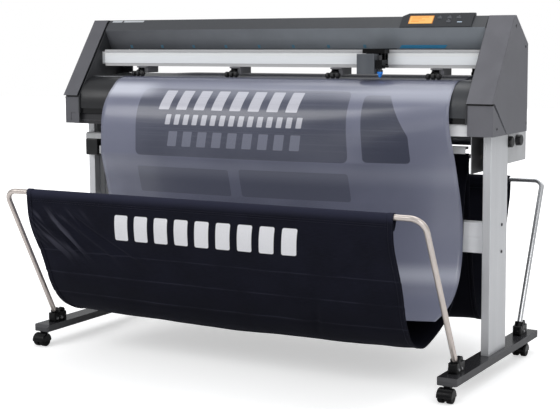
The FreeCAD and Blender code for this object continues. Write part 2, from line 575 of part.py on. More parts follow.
def build_drive():
    """Feed shaft with grit wheels, both motors, both belts and the scan pulleys."""
    shaft_z = GRIT_TOP_Z - GRIT_RADIUS
    stub_left, stub_right, belt_clearance = 2.0, 6.0, 0.05
    start_x, end_x = FEED_BELT_X - stub_left, PLATE_RIGHT_X + PLATE + stub_right
    shaft = rod(start_x, FEED_Y, shaft_z, FEED_SHAFT_RADIUS, end_x - start_x, X_AXIS)
    wheels = [rod(x - GRIT_LENGTH / 2, FEED_Y, shaft_z, GRIT_RADIUS, GRIT_LENGTH, X_AXIS)
              for x in GRIT_POSITIONS]
    node("grit_shaft", shaft.fuse(wheels).removeSplitter())
    pulley = ring_x(FEED_Y, shaft_z, FEED_PULLEY_RADIUS - belt_clearance, FEED_SHAFT_RADIUS,
                    FEED_BELT_X, FEED_BELT_X + BELT_WIDTH)
    node("feed_pulley", pulley)

    body, length, spindle_radius, mount_gap = 28.0, 52.0, 4.0, 0.2
    feed_motor = box(SPAN_LEFT_X + mount_gap, SPAN_LEFT_X + length, FEED_MOTOR_Y - body,
                     FEED_MOTOR_Y + body, FEED_MOTOR_Z - body, FEED_MOTOR_Z + body)
    feed_motor = rounded(feed_motor, 5.0, lambda e: along(e, X_AXIS))
    spindle = rod(FEED_BELT_X, FEED_MOTOR_Y, FEED_MOTOR_Z, spindle_radius,
                  SPAN_LEFT_X + 1.0 - FEED_BELT_X, X_AXIS)
    drive = rod(FEED_BELT_X, FEED_MOTOR_Y, FEED_MOTOR_Z, FEED_MOTOR_PULLEY_RADIUS - belt_clearance,
                BELT_WIDTH, X_AXIS)
    feed_motor = feed_motor.fuse([spindle, drive]).removeSplitter()
    scan_low_z, scan_left, scan_depth, scan_height = BELT_Z + 13.0, 22.0, 45.0, 50.0
    scan_motor = box(SCAN_PULLEY_X - scan_left, SPAN_RIGHT_X - FIT_GAP, BELT_Y + 1,
                     BELT_Y + 1 + scan_depth, scan_low_z, scan_low_z + scan_height)
    scan_motor = rounded(scan_motor, 4.0, lambda e: along(e, Z_AXIS))
    node("drive_motors", feed_motor, scan_motor)

    scan_belt = belt_loop(Vector(0, 0, 0), Z_AXIS,
                          (Vector(SCAN_IDLER_X, BELT_Y, BELT_Z - BELT_WIDTH / 2),
                           SCAN_PULLEY_RADIUS),
                          (Vector(SCAN_PULLEY_X, BELT_Y, BELT_Z - BELT_WIDTH / 2),
                           SCAN_PULLEY_RADIUS),
                          BELT_THICKNESS, BELT_WIDTH)
    feed_belt = belt_loop(Vector(0, 0, 0), X_AXIS,
                          (Vector(FEED_BELT_X, FEED_Y, shaft_z), FEED_PULLEY_RADIUS),
                          (Vector(FEED_BELT_X, FEED_MOTOR_Y, FEED_MOTOR_Z),
                           FEED_MOTOR_PULLEY_RADIUS),
                          BELT_THICKNESS, BELT_WIDTH)
    node("drive_belts", scan_belt, feed_belt)

    for name, x in (("scan_pulley", SCAN_PULLEY_X), ("scan_idler", SCAN_IDLER_X)):
        rim_reach, rim_width, hub_reach = 1.2, 1.4, 2.0
        low_z, width = BELT_Z - BELT_WIDTH / 2 - hub_reach, BELT_WIDTH + 2 * hub_reach
        wheel = rod(x, BELT_Y, low_z, SCAN_PULLEY_RADIUS - belt_clearance, width)
        rims = [rod(x, BELT_Y, z, SCAN_PULLEY_RADIUS + rim_reach, rim_width)
                for z in (low_z, low_z + width - rim_width)]
        wheel = wheel.fuse(rims).removeSplitter()
        node(name, wheel.cut(rod(x, BELT_Y, low_z, SCAN_PIN_RADIUS + RUNNING_GAP, width)))


def build_platen():
    """Flat bed with windows over the grit wheels, curved down at the back."""
    top, wall = PLATEN_Z, PLATEN_WALL
    rise_y, crest_y, rear_y = 20.0, 90.0, 140.0
    crest_z, rear_z, foot_z = 898.0, 860.0, BEAM_TOP_Z + 0.5

    def profile(inset):
        front = PLATEN_FRONT_Y
        low_y = rear_y - inset
        corner = Vector(0, crest_y + 35.0 - inset * 0.7, crest_z - 11.0 - inset * 0.7)
        edges = [
            Part.makeLine(Vector(0, front, top - inset), Vector(0, rise_y, top - inset)),
            Part.makeLine(Vector(0, rise_y, top - inset), Vector(0, crest_y, crest_z - inset)),
            Part.Arc(Vector(0, crest_y, crest_z - inset), corner,
                     Vector(0, low_y, rear_z)).toShape(),
            Part.makeLine(Vector(0, low_y, rear_z), Vector(0, low_y, foot_z)),
        ]
        return edges

    outer, inner = profile(0.0), profile(wall)
    ends = [Part.makeLine(outer[0].Vertexes[0].Point, inner[0].Vertexes[0].Point),
            Part.makeLine(outer[3].Vertexes[1].Point, inner[3].Vertexes[1].Point)]
    wire = Part.Wire(Part.__sortEdges__(outer + inner + ends))
    platen = Part.Face(wire).extrude(Vector(SPAN_RIGHT_X - SPAN_LEFT_X - 2 * FIT_GAP, 0, 0))
    platen.translate(Vector(SPAN_LEFT_X + FIT_GAP, 0, 0))
    clearance = 2.0
    half_slot = GRIT_RADIUS + 1.0
    for x in GRIT_POSITIONS:
        window = box(x - GRIT_LENGTH / 2 - clearance, x + GRIT_LENGTH / 2 + clearance,
                     FEED_Y - half_slot, FEED_Y + half_slot, top - 2 * wall, top + wall)
        platen = platen.cut(window)
    cut_strip = box(SPAN_LEFT_X + 40, SPAN_RIGHT_X - 40, -62.0, -60.6, top - 0.6, top + wall)
    node("platen", platen.cut(cut_strip))


def build_front_guide():
    """Dark guide that turns the film down, with the sensor band under it."""
    wall = 3.0
    x0, x1 = SPAN_LEFT_X + FIT_GAP, SPAN_RIGHT_X - FIT_GAP
    front_y = GUIDE_CENTRE_Y - GUIDE_RADIUS

    def quarter(radius):
        half_way = radius * math.sqrt(0.5)
        return Part.Arc(Vector(x0, GUIDE_CENTRE_Y, GUIDE_CENTRE_Z + radius),
                        Vector(x0, GUIDE_CENTRE_Y - half_way, GUIDE_CENTRE_Z + half_way),
                        Vector(x0, GUIDE_CENTRE_Y - radius, GUIDE_CENTRE_Z)).toShape()

    outer, inner = quarter(GUIDE_RADIUS), quarter(GUIDE_RADIUS - wall)
    bottom_front = Vector(x0, front_y, GUIDE_BOTTOM_Z)
    bottom_back = Vector(x0, front_y + wall, GUIDE_BOTTOM_Z)
    wire = Part.Wire(Part.__sortEdges__([
        outer,
        Part.makeLine(Vector(x0, front_y, GUIDE_CENTRE_Z), bottom_front),
        Part.makeLine(bottom_front, bottom_back),
        Part.makeLine(bottom_back, Vector(x0, front_y + wall, GUIDE_CENTRE_Z)),
        inner,
        Part.makeLine(inner.Vertexes[0].Point, outer.Vertexes[0].Point),
    ]))
    guide = Part.Face(wire).extrude(Vector(x1 - x0, 0, 0))
    band = box(x0, x1, front_y + 6.0, front_y + 9.0, SENSOR_BAND_BOTTOM_Z, GUIDE_BOTTOM_Z + 6.0)
    ledge = box(x0, x1, front_y + wall, front_y + 9.0, GUIDE_BOTTOM_Z + 3.0, GUIDE_BOTTOM_Z + 6.0)
    guide = guide.fuse([band, ledge]).removeSplitter()
    for x in range(-600, 601, 150):
        eye = rod(x, front_y + 6.0, (GUIDE_BOTTOM_Z + SENSOR_BAND_BOTTOM_Z) / 2, 2.5, 1.0, Y_AXIS)
        guide = guide.cut(eye)
    node("front_guide", guide)


# ---------------------------------------------------------------- covers
def cover_outline(inset):
    """Side view of an upper end cover, drawn in by an inset."""
    slope = math.atan2(COVER_TOP_Z - COVER_KNEE_Z, COVER_TOP_FRONT_Y - COVER_FRONT_Y)
    back_off = inset * math.tan(slope / 2)
    return [
        (COVER_FRONT_Y + inset / math.sin(slope), COVER_KNEE_Z),
        (COVER_TOP_FRONT_Y + back_off, COVER_TOP_Z - inset),
        (COVER_TOP_REAR_Y - inset * 0.33, COVER_TOP_Z - inset),
        (COVER_REAR_Y - inset, COVER_CHAMFER_Z - inset * 0.33),
        (COVER_REAR_Y - inset, COVER_BOTTOM_Z),
        (COVER_SPLIT_Y + inset, COVER_BOTTOM_Z),
        (COVER_KNEE_REAR_Y + inset, COVER_KNEE_Z),
    ]


def build_end_covers():
    """Shells over both ends of the head, with a separate lower front corner on each."""
    lower_covers = []
    for name, outer_x, inner_x in (("left_cover", -HALF_WIDTH, INNER_LEFT_X),
                                   ("right_cover", HALF_WIDTH, INNER_RIGHT_X)):
        side = math.copysign(1.0, outer_x)
        low, high = sorted((outer_x, inner_x))
        cover = prism_x(cover_outline(0.0), low, high)
        cover = rounded(cover, 2.0, lambda e: abs(e.CenterOfMass.x - outer_x) < 0.01
                        and e.CenterOfMass.z > COVER_KNEE_Z + 1)
        hollow_low, hollow_high = sorted((outer_x - side * COVER_WALL, inner_x - side * 1.0))
        hollow = prism_x(cover_outline(COVER_WALL), hollow_low, hollow_high)
        cover = cover.cut(hollow)
        room = 1.5
        beam_low, beam_high = sorted((inner_x - side, side * (BEAM_HALF_LENGTH + room)))
        beam_room = box(beam_low, beam_high, -BEAM_HALF_DEPTH - room, BEAM_HALF_DEPTH + room,
                        COVER_BOTTOM_Z - 1, BEAM_TOP_Z + room)
        cover = cover.cut(beam_room)
        for y, z in SCREW_SEATS:
            cover = cover.cut(rod(outer_x, y, z, SEAT_RADIUS, SEAT_DEPTH, X_AXIS * -side))
        if side > 0:
            cover = cover.cut(box(SWITCH_X - 11, SWITCH_X + 11, COVER_REAR_Y - COVER_WALL,
                                  COVER_REAR_Y, SWITCH_Z - 16, SWITCH_Z + 16))
        node(name, cover)

        front_y = LOWER_COVER_FRONT_Y
        top_z = COVER_KNEE_Z - SPLIT_GAP
        top_rear_y = COVER_KNEE_REAR_Y - SPLIT_GAP
        bottom_rear_y = COVER_SPLIT_Y - 1.6 * SPLIT_GAP
        outline = [(front_y, COVER_BOTTOM_Z), (front_y, top_z), (top_rear_y, top_z),
                   (bottom_rear_y, COVER_BOTTOM_Z)]
        shy_x = outer_x - side * 1.0
        low, high = sorted((shy_x, inner_x))
        lower = prism_x(outline, low, high)
        wall = COVER_WALL
        hollow_low, hollow_high = sorted((shy_x - side * wall, inner_x - side * 1.0))
        behind = [(front_y + wall, COVER_BOTTOM_Z - 1), (front_y + wall, top_z + 1),
                  (top_rear_y + 5, top_z + 1), (bottom_rear_y + 5, COVER_BOTTOM_Z - 1)]
        lower = lower.cut(prism_x(behind, hollow_low, hollow_high))
        if side < 0:
            lower = lower.cut(box(-750.0, -725.0, front_y, front_y + 1.5, 741.0, 768.0))
        else:
            seat_y, seat_z = LOWER_SCREW_SEAT
            lower = lower.cut(rod(shy_x, seat_y, seat_z, SEAT_RADIUS, SEAT_DEPTH, X_AXIS * -side))
        lower_covers.append(lower)
    node("lower_covers", *lower_covers)


def build_fasteners():
    """Socket screws: cover screws in their seats and stay screws on the columns."""
    def socket_screw(x, y, z, radius, height, direction):
        head = Part.makeCylinder(radius, height, Vector(x, y, z), X_AXIS * direction)
        head = rounded(head, height * 0.3, lambda e: isinstance(e.Curve, Part.Circle)
                       and abs(e.CenterOfMass.x - x) > height / 2)
        socket_depth = height * 0.6
        mouth_x = x + direction * (height - socket_depth)
        hexagon = [Vector(mouth_x, y + radius * 0.5 * math.cos(math.radians(60 * i)),
                          z + radius * 0.5 * math.sin(math.radians(60 * i))) for i in range(6)]
        socket = Part.Face(Part.makePolygon(hexagon + [hexagon[0]]))
        return head.cut(socket.extrude(X_AXIS * (direction * height)))

    screws = []
    for side in (-1, 1):
        for y, z in SCREW_SEATS:
            screws.append(socket_screw(side * (HALF_WIDTH - 1.3), y, z, 3.4, 1.2, side))
        for z in (CROSS_STAY_BOTTOM_Z + 3, CROSS_STAY_TOP_Z - 8):
            screws.append(socket_screw(side * (COLUMN_OUTER_X + 0.05), 24.0, z, 5.0, 2.4, side))
    y, z = LOWER_SCREW_SEAT
    screws.append(socket_screw(HALF_WIDTH - 2.3, y, z, 3.4, 1.2, 1))
    node("fasteners", *screws)


def build_top_cover():
    """Hood between the end covers: sloped top, undercut fascia and sloped back."""
    rear_y = COVER_REAR_Y - 2.0

    def outline(inset):
        return [
            (HOOD_LIP_Y + inset * 1.3, HOOD_LIP_Z),
            (HOOD_BREAK_Y + inset * 1.25, HOOD_BREAK_Z),
            (HOOD_TOP_Y + inset * 0.2, HOOD_TOP_Z - inset),
            (COVER_TOP_REAR_Y, HOOD_TOP_Z - inset),
            (rear_y - inset, rear_slope_z(rear_y) - 3.0 - inset * 0.35),
            (rear_y - inset, HOOD_REAR_Z),
        ]

    skin = outline(0.0) + list(reversed(outline(HOOD_WALL)))
    hood = prism_x(skin, SPAN_LEFT_X + FIT_GAP, SPAN_RIGHT_X - FIT_GAP)
    node("top_cover", hood)


def build_rail():
    """Extruded guide rail of the carriage."""
    rail = box(RAIL_LEFT_X, SPAN_RIGHT_X - FIT_GAP, RAIL_FRONT_Y, RAIL_REAR_Y,
               RAIL_BOTTOM_Z, RAIL_TOP_Z)
    x0, x1 = RAIL_LEFT_X - 1, SPAN_RIGHT_X
    groove = box(x0, x1, RAIL_FRONT_Y, RAIL_FRONT_Y + RAIL_GROOVE_DEPTH,
                 RAIL_GROOVE_Z - RAIL_GROOVE_HEIGHT / 2, RAIL_GROOVE_Z + RAIL_GROOVE_HEIGHT / 2)
    step_z = 935.0
    band = box(x0, x1, RAIL_FRONT_Y, RAIL_FRONT_Y + 1.5, RAIL_BOTTOM_Z, step_z)
    wall = 4.0
    hollow = box(x0, x1, RAIL_FRONT_Y + RAIL_GROOVE_DEPTH + wall, RAIL_REAR_Y - wall,
                 RAIL_BOTTOM_Z + wall, RAIL_TOP_Z - wall)
    rail = rail.cut(groove).cut(band).cut(hollow)
    hanger = box(SPAN_LEFT_X + 0.1, RAIL_LEFT_X, RAIL_FRONT_Y + 12, RAIL_REAR_Y,
                 RAIL_BOTTOM_Z + 6, RAIL_TOP_Z - 6)
    node("y_rail", rail.fuse(hanger).removeSplitter())


# ---------------------------------------------------------------- pinch rollers
def build_pinch_units():
    """Four roller units that slide along the rail; each has a sprung arm and a roller."""
    cheek_inner, cheek_outer, right_reach = 11.0, 14.5, 24.0
    block_front_y, block_rear_y, cheek_front_y, tail = -38.0, 34.0, -30.0, 4.0
    top_z, cheek_top_z, cheek_bottom_z = RAIL_BOTTOM_Z - 0.3, 920.0, 902.5
    pin_radius, pin_gap = 2.0, 0.08
    disc_half, disc_gap, arm_half = 5.0, 0.8, cheek_inner - 0.5
    arm_outline = [(-4.0, 904.5), (-4.0, 915.0), (-30.0, 916.0), (-44.0, 912.0),
                   (-55.0, 905.0), (-55.0, 897.0), (-46.0, 896.0), (-30.0, 902.0)]
    slot_rear_y, slot_front_y = -38.5, -62.0
    outer_disc_start, outer_disc_width = 12.5, 9.0
    hub_radius, hub_width, axle_radius = 5.5, 3.0, 2.0
    axle_z = PINCH_ROLLER_BOTTOM_Z + PINCH_ROLLER_RADIUS
    for number, x in enumerate(PINCH_POSITIONS, start=1):
        top = box(x - cheek_outer, x + right_reach, block_front_y, block_rear_y, cheek_top_z,
                  top_z)
        cheeks = [box(x + low, x + high, cheek_front_y, block_rear_y, cheek_bottom_z,
                      cheek_top_z)
                  for low, high in ((cheek_inner, right_reach), (-cheek_outer, -cheek_inner))]
        back = box(x - cheek_outer, x + right_reach, block_rear_y - tail, block_rear_y,
                   cheek_bottom_z, cheek_top_z)
        pin = rod(x - cheek_outer, PINCH_PIVOT_Y, PINCH_PIVOT_Z, pin_radius, 2 * cheek_outer,
                  X_AXIS)
        node("pinch_carrier_%d" % number, top.fuse(cheeks + [back, pin]).removeSplitter())

        arm = prism_x(arm_outline, x - arm_half, x + arm_half)
        slot_half = disc_half + disc_gap
        slot = box(x - slot_half, x + slot_half, slot_front_y, slot_rear_y,
                   PINCH_ROLLER_BOTTOM_Z, RAIL_BOTTOM_Z)
        arm = arm.cut(slot)
        arm = arm.cut(rod(x - arm_half, PINCH_PIVOT_Y, PINCH_PIVOT_Z, pin_radius + pin_gap,
                          2 * arm_half, X_AXIS))
        arm = arm.cut(rod(x - arm_half, FEED_Y, axle_z, axle_radius + pin_gap, 2 * arm_half,
                          X_AXIS))
        node("pinch_arm_%d" % number, arm)

        discs = [rod(x + start, FEED_Y, axle_z, PINCH_ROLLER_RADIUS, width, X_AXIS)
                 for start, width in ((-disc_half, 2 * disc_half),
                                      (outer_disc_start, outer_disc_width),
                                      (-outer_disc_start - outer_disc_width, outer_disc_width))]
        discs = [rounded(disc, 1.0, lambda e: isinstance(e.Curve, Part.Circle)) for disc in discs]
        axle_half = outer_disc_start + outer_disc_width + hub_width
        hubs = [rod(x + start, FEED_Y, axle_z, hub_radius, hub_width, X_AXIS)
                for start in (axle_half - hub_width, -axle_half)]
        axle = rod(x - axle_half, FEED_Y, axle_z, axle_radius, 2 * axle_half, X_AXIS)
        node("pinch_roller_%d" % number, axle.fuse(discs + hubs).removeSplitter())


# ---------------------------------------------------------------- carriage
def build_carriage():
    """Carriage plate on the rail, its cover, the lifting tool holder and the blade holder."""
    x0, x1 = CARRIAGE_X + CARRIAGE_LEFT, CARRIAGE_X + CARRIAGE_RIGHT
    slide_gap = 0.4
    back_front_y, back_rear_y = -38.0, RAIL_FRONT_Y - slide_gap
    cap_front_y, over_rear_y, over_thickness = -66.0, 26.0, 3.0
    plate_drop, cap_drop, cap_overhang = 50.0, 11.0, 4.0
    over_z = RAIL_TOP_Z + slide_gap
    plate = box(x0, x1 - cap_overhang, back_front_y, back_rear_y, RAIL_TOP_Z - plate_drop,
                RAIL_TOP_Z)
    cap = box(x0, x1, cap_front_y, back_rear_y, RAIL_TOP_Z - cap_drop, over_z)
    over = box(x0, x1, cap_front_y, over_rear_y, over_z, over_z + over_thickness)
    clamp_half, clamp_thickness, clamp_drop = 14.0, 4.0, 6.0
    clamp_rear_y = BELT_Y - SCAN_PULLEY_RADIUS - BELT_THICKNESS - 0.3
    clamp = box(CARRIAGE_X - clamp_half, CARRIAGE_X + clamp_half, clamp_rear_y - clamp_thickness,
                clamp_rear_y, BELT_Z - clamp_drop, over_z)
    tongue_inset = 6.0
    tongue = box(x0 + tongue_inset, x1 - tongue_inset, back_rear_y,
                 RAIL_FRONT_Y + RAIL_GROOVE_DEPTH - slide_gap,
                 RAIL_GROOVE_Z - RAIL_GROOVE_HEIGHT / 2 + slide_gap,
                 RAIL_GROOVE_Z + RAIL_GROOVE_HEIGHT / 2 - slide_gap)
    rod_y, rod_z, rod_radius, rod_length, rod_offsets = -56.0, 934.0, 2.5, 37.0, (-6.0, 5.0)
    guide_rods = [rod(TOOL_X + dx, rod_y, rod_z, rod_radius, rod_length) for dx in rod_offsets]
    foot_left, foot_right, foot_front_y = 9.0, 8.5, -60.0
    guide_foot = box(TOOL_X - foot_left, TOOL_X + foot_right, foot_front_y, back_front_y,
                     RAIL_TOP_Z - plate_drop, rod_z)
    frame = plate.fuse([cap, over, clamp, tongue, guide_foot] + guide_rods).removeSplitter()
    node("carriage_frame", frame)

    wall, cover_left, cover_right = 2.0, 50.0, 9.0
    cover_x0, cover_x1 = CARRIAGE_X - cover_left, CARRIAGE_X + cover_right
    side_y, bulge_y, open_y = -96.0, -104.0, -63.0
    cover_z0, cover_z1 = 907.0, 968.5

    def cover_prism(inset, z0, z1):
        a = Vector(cover_x0 + inset, open_y, z0)
        b = Vector(cover_x0 + inset, side_y + inset, z0)
        c = Vector(cover_x1 - inset, side_y + inset, z0)
        d = Vector(cover_x1 - inset, open_y, z0)
        crown = Vector((cover_x0 + cover_x1) / 2, bulge_y + inset, z0)
        wire = Part.Wire([Part.makeLine(a, b), Part.Arc(b, crown, c).toShape(),
                          Part.makeLine(c, d), Part.makeLine(d, a)])
        return Part.Face(wire).extrude(Vector(0, 0, z1 - z0))

    cover = cover_prism(0.0, cover_z0, cover_z1)
    cover = rounded(cover, 2.0, lambda e: abs(e.CenterOfMass.z - cover_z1) < 0.01
                    and e.CenterOfMass.y < open_y - 1)
    inside = cover_prism(wall, cover_z0 + wall, cover_z1 - wall)
    opening = box(cover_x0 + wall, cover_x1 - wall, open_y - wall - 1, open_y + 1,
                  cover_z0 + wall, cover_z1 - wall)
    cover = cover.cut(inside).cut(opening)
    bridge_inset, bridge_depth, bridge_z0, bridge_z1 = 10.0, 8.0, 945.0, 955.0
    bridge = box(cover_x0 + bridge_inset, cover_x1 - wall, open_y - bridge_depth,
                 back_front_y - 0.3, bridge_z0, bridge_z1)
    tab = box(cover_x1 - wall, cover_x1, open_y - bridge_depth, open_y, bridge_z0, bridge_z1)
    cover = cover.fuse([bridge, tab]).removeSplitter()
    node("carriage_cover", cover)

    holder_half, holder_front_y, holder_rear_y = 11.0, -92.0, -62.5
    holder_z0, holder_z1, slide_z, slide_rear_y = 924.0, 950.0, 938.0, -50.5
    holder = box(TOOL_X - holder_half, TOOL_X + holder_half, holder_front_y, holder_rear_y,
                 holder_z0, holder_z1)
    holder = rounded(holder, 3.0, lambda e: along(e, Z_AXIS))
    slide_block = box(TOOL_X - holder_half, TOOL_X + holder_half - 1, holder_rear_y,
                      slide_rear_y, slide_z, holder_z1)
    holder = holder.fuse(slide_block)
    height = holder_z1 - holder_z0
    for dx in rod_offsets:
        holder = holder.cut(rod(TOOL_X + dx, rod_y, holder_z0, rod_radius + RUNNING_GAP, height))
    holder = holder.cut(rod(TOOL_X, TOOL_Y, holder_z0, PEN_RADIUS + 0.05, height))
    screw_z, screw_radius, screw_start, screw_length = 931.0, 2.5, 10.0, 14.0
    head_radius, head_start, head_length = 4.0, 22.0, 5.0
    screw = rod(TOOL_X + screw_start, TOOL_Y, screw_z, screw_radius, screw_length, X_AXIS)
    screw_head = rod(TOOL_X + head_start, TOOL_Y, screw_z, head_radius, head_length, X_AXIS)
    node("tool_holder", holder.fuse([screw, screw_head]).removeSplitter())

    barrel_z, barrel_length = 912.0, 52.0
    collar_z, collar_radius, collar_length = 908.0, 9.0, 12.0
    nose_z, nose_tip_radius, nose_radius = 898.0, 4.0, 7.0
    blade_tip_radius, blade_radius = 0.4, 1.6
    barrel = rod(TOOL_X, TOOL_Y, barrel_z, PEN_RADIUS, barrel_length)
    collar = rod(TOOL_X, TOOL_Y, collar_z, collar_radius, collar_length)
    nose = Part.makeCone(nose_tip_radius, nose_radius, collar_z - nose_z,
                         Vector(TOOL_X, TOOL_Y, nose_z), Z_AXIS)
    blade = Part.makeCone(blade_tip_radius, blade_radius, nose_z - TOOL_TIP_Z,
                          Vector(TOOL_X, TOOL_Y, TOOL_TIP_Z), Z_AXIS)
    node("cutter_pen", barrel.fuse([collar, nose, blade]).removeSplitter())


# ---------------------------------------------------------------- controls
def panel_axes():
    """Origin, up-slope direction and outward normal of the panel's sloped face."""
    start = Vector(0, HOOD_BREAK_Y - 1.5, HOOD_BREAK_Z + 2.5)
    end = Vector(0, HOOD_TOP_Y + 2.0, HOOD_TOP_Z + PANEL_RISE)
    up = (end - start).normalize()
    return start, up, Vector(0, -up.z, up.y)


def panel_block(x0, x1, s0, s1, depth, height):
    """Block on the panel's face: X range, range up the slope, depth below and height above."""
    origin, up, out = panel_axes()
    corners = [origin + up * s + out * h for s, h in ((s0, -depth), (s1, -depth), (s1, height),
                                                      (s0, height))]
    return prism_x([(c.y, c.z) for c in corners], x0, x1)


def build_controls():
    """Raised control panel, its window, four keys, the pinch lift lever and the mains switch."""
    origin, up, out = panel_axes()
    gap = 0.25
    length = (Vector(0, HOOD_TOP_Y + 2.0, HOOD_TOP_Z + PANEL_RISE) - origin).Length
    face_start, face_end = origin, origin + up * length
    outline = [(HOOD_BREAK_Y - gap, HOOD_BREAK_Z + gap), (face_start.y, face_start.z),
               (face_end.y, face_end.z), (COVER_TOP_REAR_Y + 8.0, face_end.z),
               (COVER_TOP_REAR_Y + 8.0, rear_slope_z(COVER_TOP_REAR_Y + 8.0) - 0.4),
               (COVER_TOP_REAR_Y, HOOD_TOP_Z + gap), (HOOD_TOP_Y - gap, HOOD_TOP_Z + gap)]
    panel = prism_x(outline, PANEL_LEFT_X, PANEL_RIGHT_X)
    ramp = 22.0
    high = face_end.z + 1
    wedge = prism_y([(PANEL_LEFT_X - 1, HOOD_TOP_Z + 1.0), (PANEL_LEFT_X - 1, high),
                     (PANEL_LEFT_X + ramp, high)], -20, 80)
    panel = panel.cut(wedge)
    panel = rounded(panel, 3.0, lambda e: abs(e.CenterOfMass.x - PANEL_RIGHT_X) < 0.01
                    and e.CenterOfMass.z > HOOD_TOP_Z + 2 and along(e, Y_AXIS))
    window_low, window_high = 13.0, 44.0
    window_depth = 1.6
    panel = panel.cut(panel_block(LCD_LEFT_X, LCD_RIGHT_X, window_low, window_high,
                                  window_depth, 2.0))
    inset = 0.1
    node("lcd_window", panel_block(LCD_LEFT_X + inset, LCD_RIGHT_X - inset, window_low + inset,
                                   window_high - inset, window_depth - inset, 0.2))
    key_half, key_height, well = 7.0, 4.0, 0.4
    for name, x, s in KEYS:
        panel = panel.cut(panel_block(x - key_half - well, x + key_half + well,
                                      s - key_height - well, s + key_height + well, 2.8, 2.0))
        key = panel_block(x - key_half, x + key_half, s - key_height, s + key_height, 1.6, 1.2)
        node(name, rounded(key, 0.8, lambda e: abs((e.CenterOfMass - origin).dot(out) - 1.2) < 0.01))
    node("control_panel", panel)

    lever_y = COVER_REAR_Y - 2.0 + 0.4
    grip_z = LEVER_Z - 66.0
    hub = rod(LEVER_X, lever_y, LEVER_Z, 13.0, 9.0, Y_AXIS)
    arm = box(LEVER_X - 7, LEVER_X + 7, lever_y + 1, lever_y + 7, grip_z, LEVER_Z)
    grip = rod(LEVER_X, lever_y + 1, grip_z, 10.0, 11.0, Y_AXIS)
    node("set_lever", hub.fuse([arm, grip]).removeSplitter())

    rocker = box(SWITCH_X - 10, SWITCH_X + 10, COVER_REAR_Y - 5.0, COVER_REAR_Y + 2.0,
                 SWITCH_Z - 14, SWITCH_Z + 14)
    rocker = rounded(rocker, 1.5, lambda e: along(e, X_AXIS) and e.CenterOfMass.y > COVER_REAR_Y)
    node("power_switch", rocker)


# ---------------------------------------------------------------- film
def build_media_sheet():
    """Sheet of film that lies on the platen and hangs over the guide into the basket."""
    top = PLATEN_Z + SHEET_LIFT + SHEET / 2
    on_platen = [(70.0, 896.4), (40.0, 893.0), (16.0, top + 0.3)]
    on_platen += [(y, top) for y in (-4.0, -20.0, -35.0, -50.0)]
    wrap_radius = top - GUIDE_CENTRE_Z
    over_guide = [(GUIDE_CENTRE_Y - wrap_radius * math.sin(math.radians(turn)),
                   GUIDE_CENTRE_Z + wrap_radius * math.cos(math.radians(turn)))
                  for turn in (0, 12, 24, 36, 48)]
    over_guide += [(-144.5, 845.0), (-167.0, 815.0), (-181.0, 785.0), (-185.0, 745.0),
                   (-181.0, 706.0)]
    hanging = [(-174.0, 660.0), (-160.0, 585.0), (-141.0, 515.0), (-129.0, 460.0),
               (-126.0, 410.0), (-134.0, 345.0), (-157.0, 285.0), (-197.0, 245.0),
               (-255.0, 218.0), (-330.0, 203.0)]
    path = on_platen + over_guide + hanging
    node("media_sheet", strip_x(path, SHEET, SHEET_LEFT_X, SHEET_RIGHT_X))


def main():
    build_feet()
    build_columns()
    build_cross_stay()
    build_column_tops()
    build_stock_rollers()
    build_casters()
    build_basket_frame()
    build_basket_fabric()
    build_main_beam()
    build_side_frames()
    build_drive()
    build_platen()
    build_front_guide()
    build_end_covers()
    build_fasteners()
    build_top_cover()
    build_rail()
    build_pinch_units()
    build_carriage()
    build_controls()
    build_media_sheet()
    os.makedirs("parts", exist_ok=True)
    for name, shape in NODES.items():
        shape.translate(Vector(0, -FOOTPRINT_MID_Y, 0))
        shape.exportStep("parts/%s.step" % name)
        volume = shape.Volume / 1000.0
        print("%-26s %2d solid(s) %9.1f cm3 valid %s" % (name, len(shape.Solids), volume,
                                                         shape.isValid()))
    print(len(NODES), "nodes")


main()
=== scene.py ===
"""Looks of a large vinyl cutter on a stand: finishes, cloth basket, film, trim, light, camera.

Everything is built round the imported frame, in metres and in its axes: +X is the operator's right,
the operator stands at -Y and +Z is up.
"""

import math

import bpy
import numpy as np
from mathutils import Matrix, Vector


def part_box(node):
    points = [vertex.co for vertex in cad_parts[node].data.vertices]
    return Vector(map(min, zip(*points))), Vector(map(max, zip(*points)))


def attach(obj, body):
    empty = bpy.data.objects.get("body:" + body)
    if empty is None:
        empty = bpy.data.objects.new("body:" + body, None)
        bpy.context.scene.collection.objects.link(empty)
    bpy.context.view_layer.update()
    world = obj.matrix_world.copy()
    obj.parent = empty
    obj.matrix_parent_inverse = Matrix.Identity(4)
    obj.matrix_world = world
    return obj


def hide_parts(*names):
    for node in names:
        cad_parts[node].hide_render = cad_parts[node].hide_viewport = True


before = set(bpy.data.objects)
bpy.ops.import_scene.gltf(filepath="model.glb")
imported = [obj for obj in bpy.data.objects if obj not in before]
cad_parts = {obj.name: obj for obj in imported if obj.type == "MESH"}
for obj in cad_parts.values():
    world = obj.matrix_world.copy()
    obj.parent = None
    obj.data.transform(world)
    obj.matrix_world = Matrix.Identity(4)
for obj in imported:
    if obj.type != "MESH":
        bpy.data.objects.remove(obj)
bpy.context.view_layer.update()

MM = 0.001


# ---------------------------------------------------------------- places read from the frame
def centre_of(node):
    """Middle of a CAD node's box."""
    low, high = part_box(node)
    return (low + high) / 2


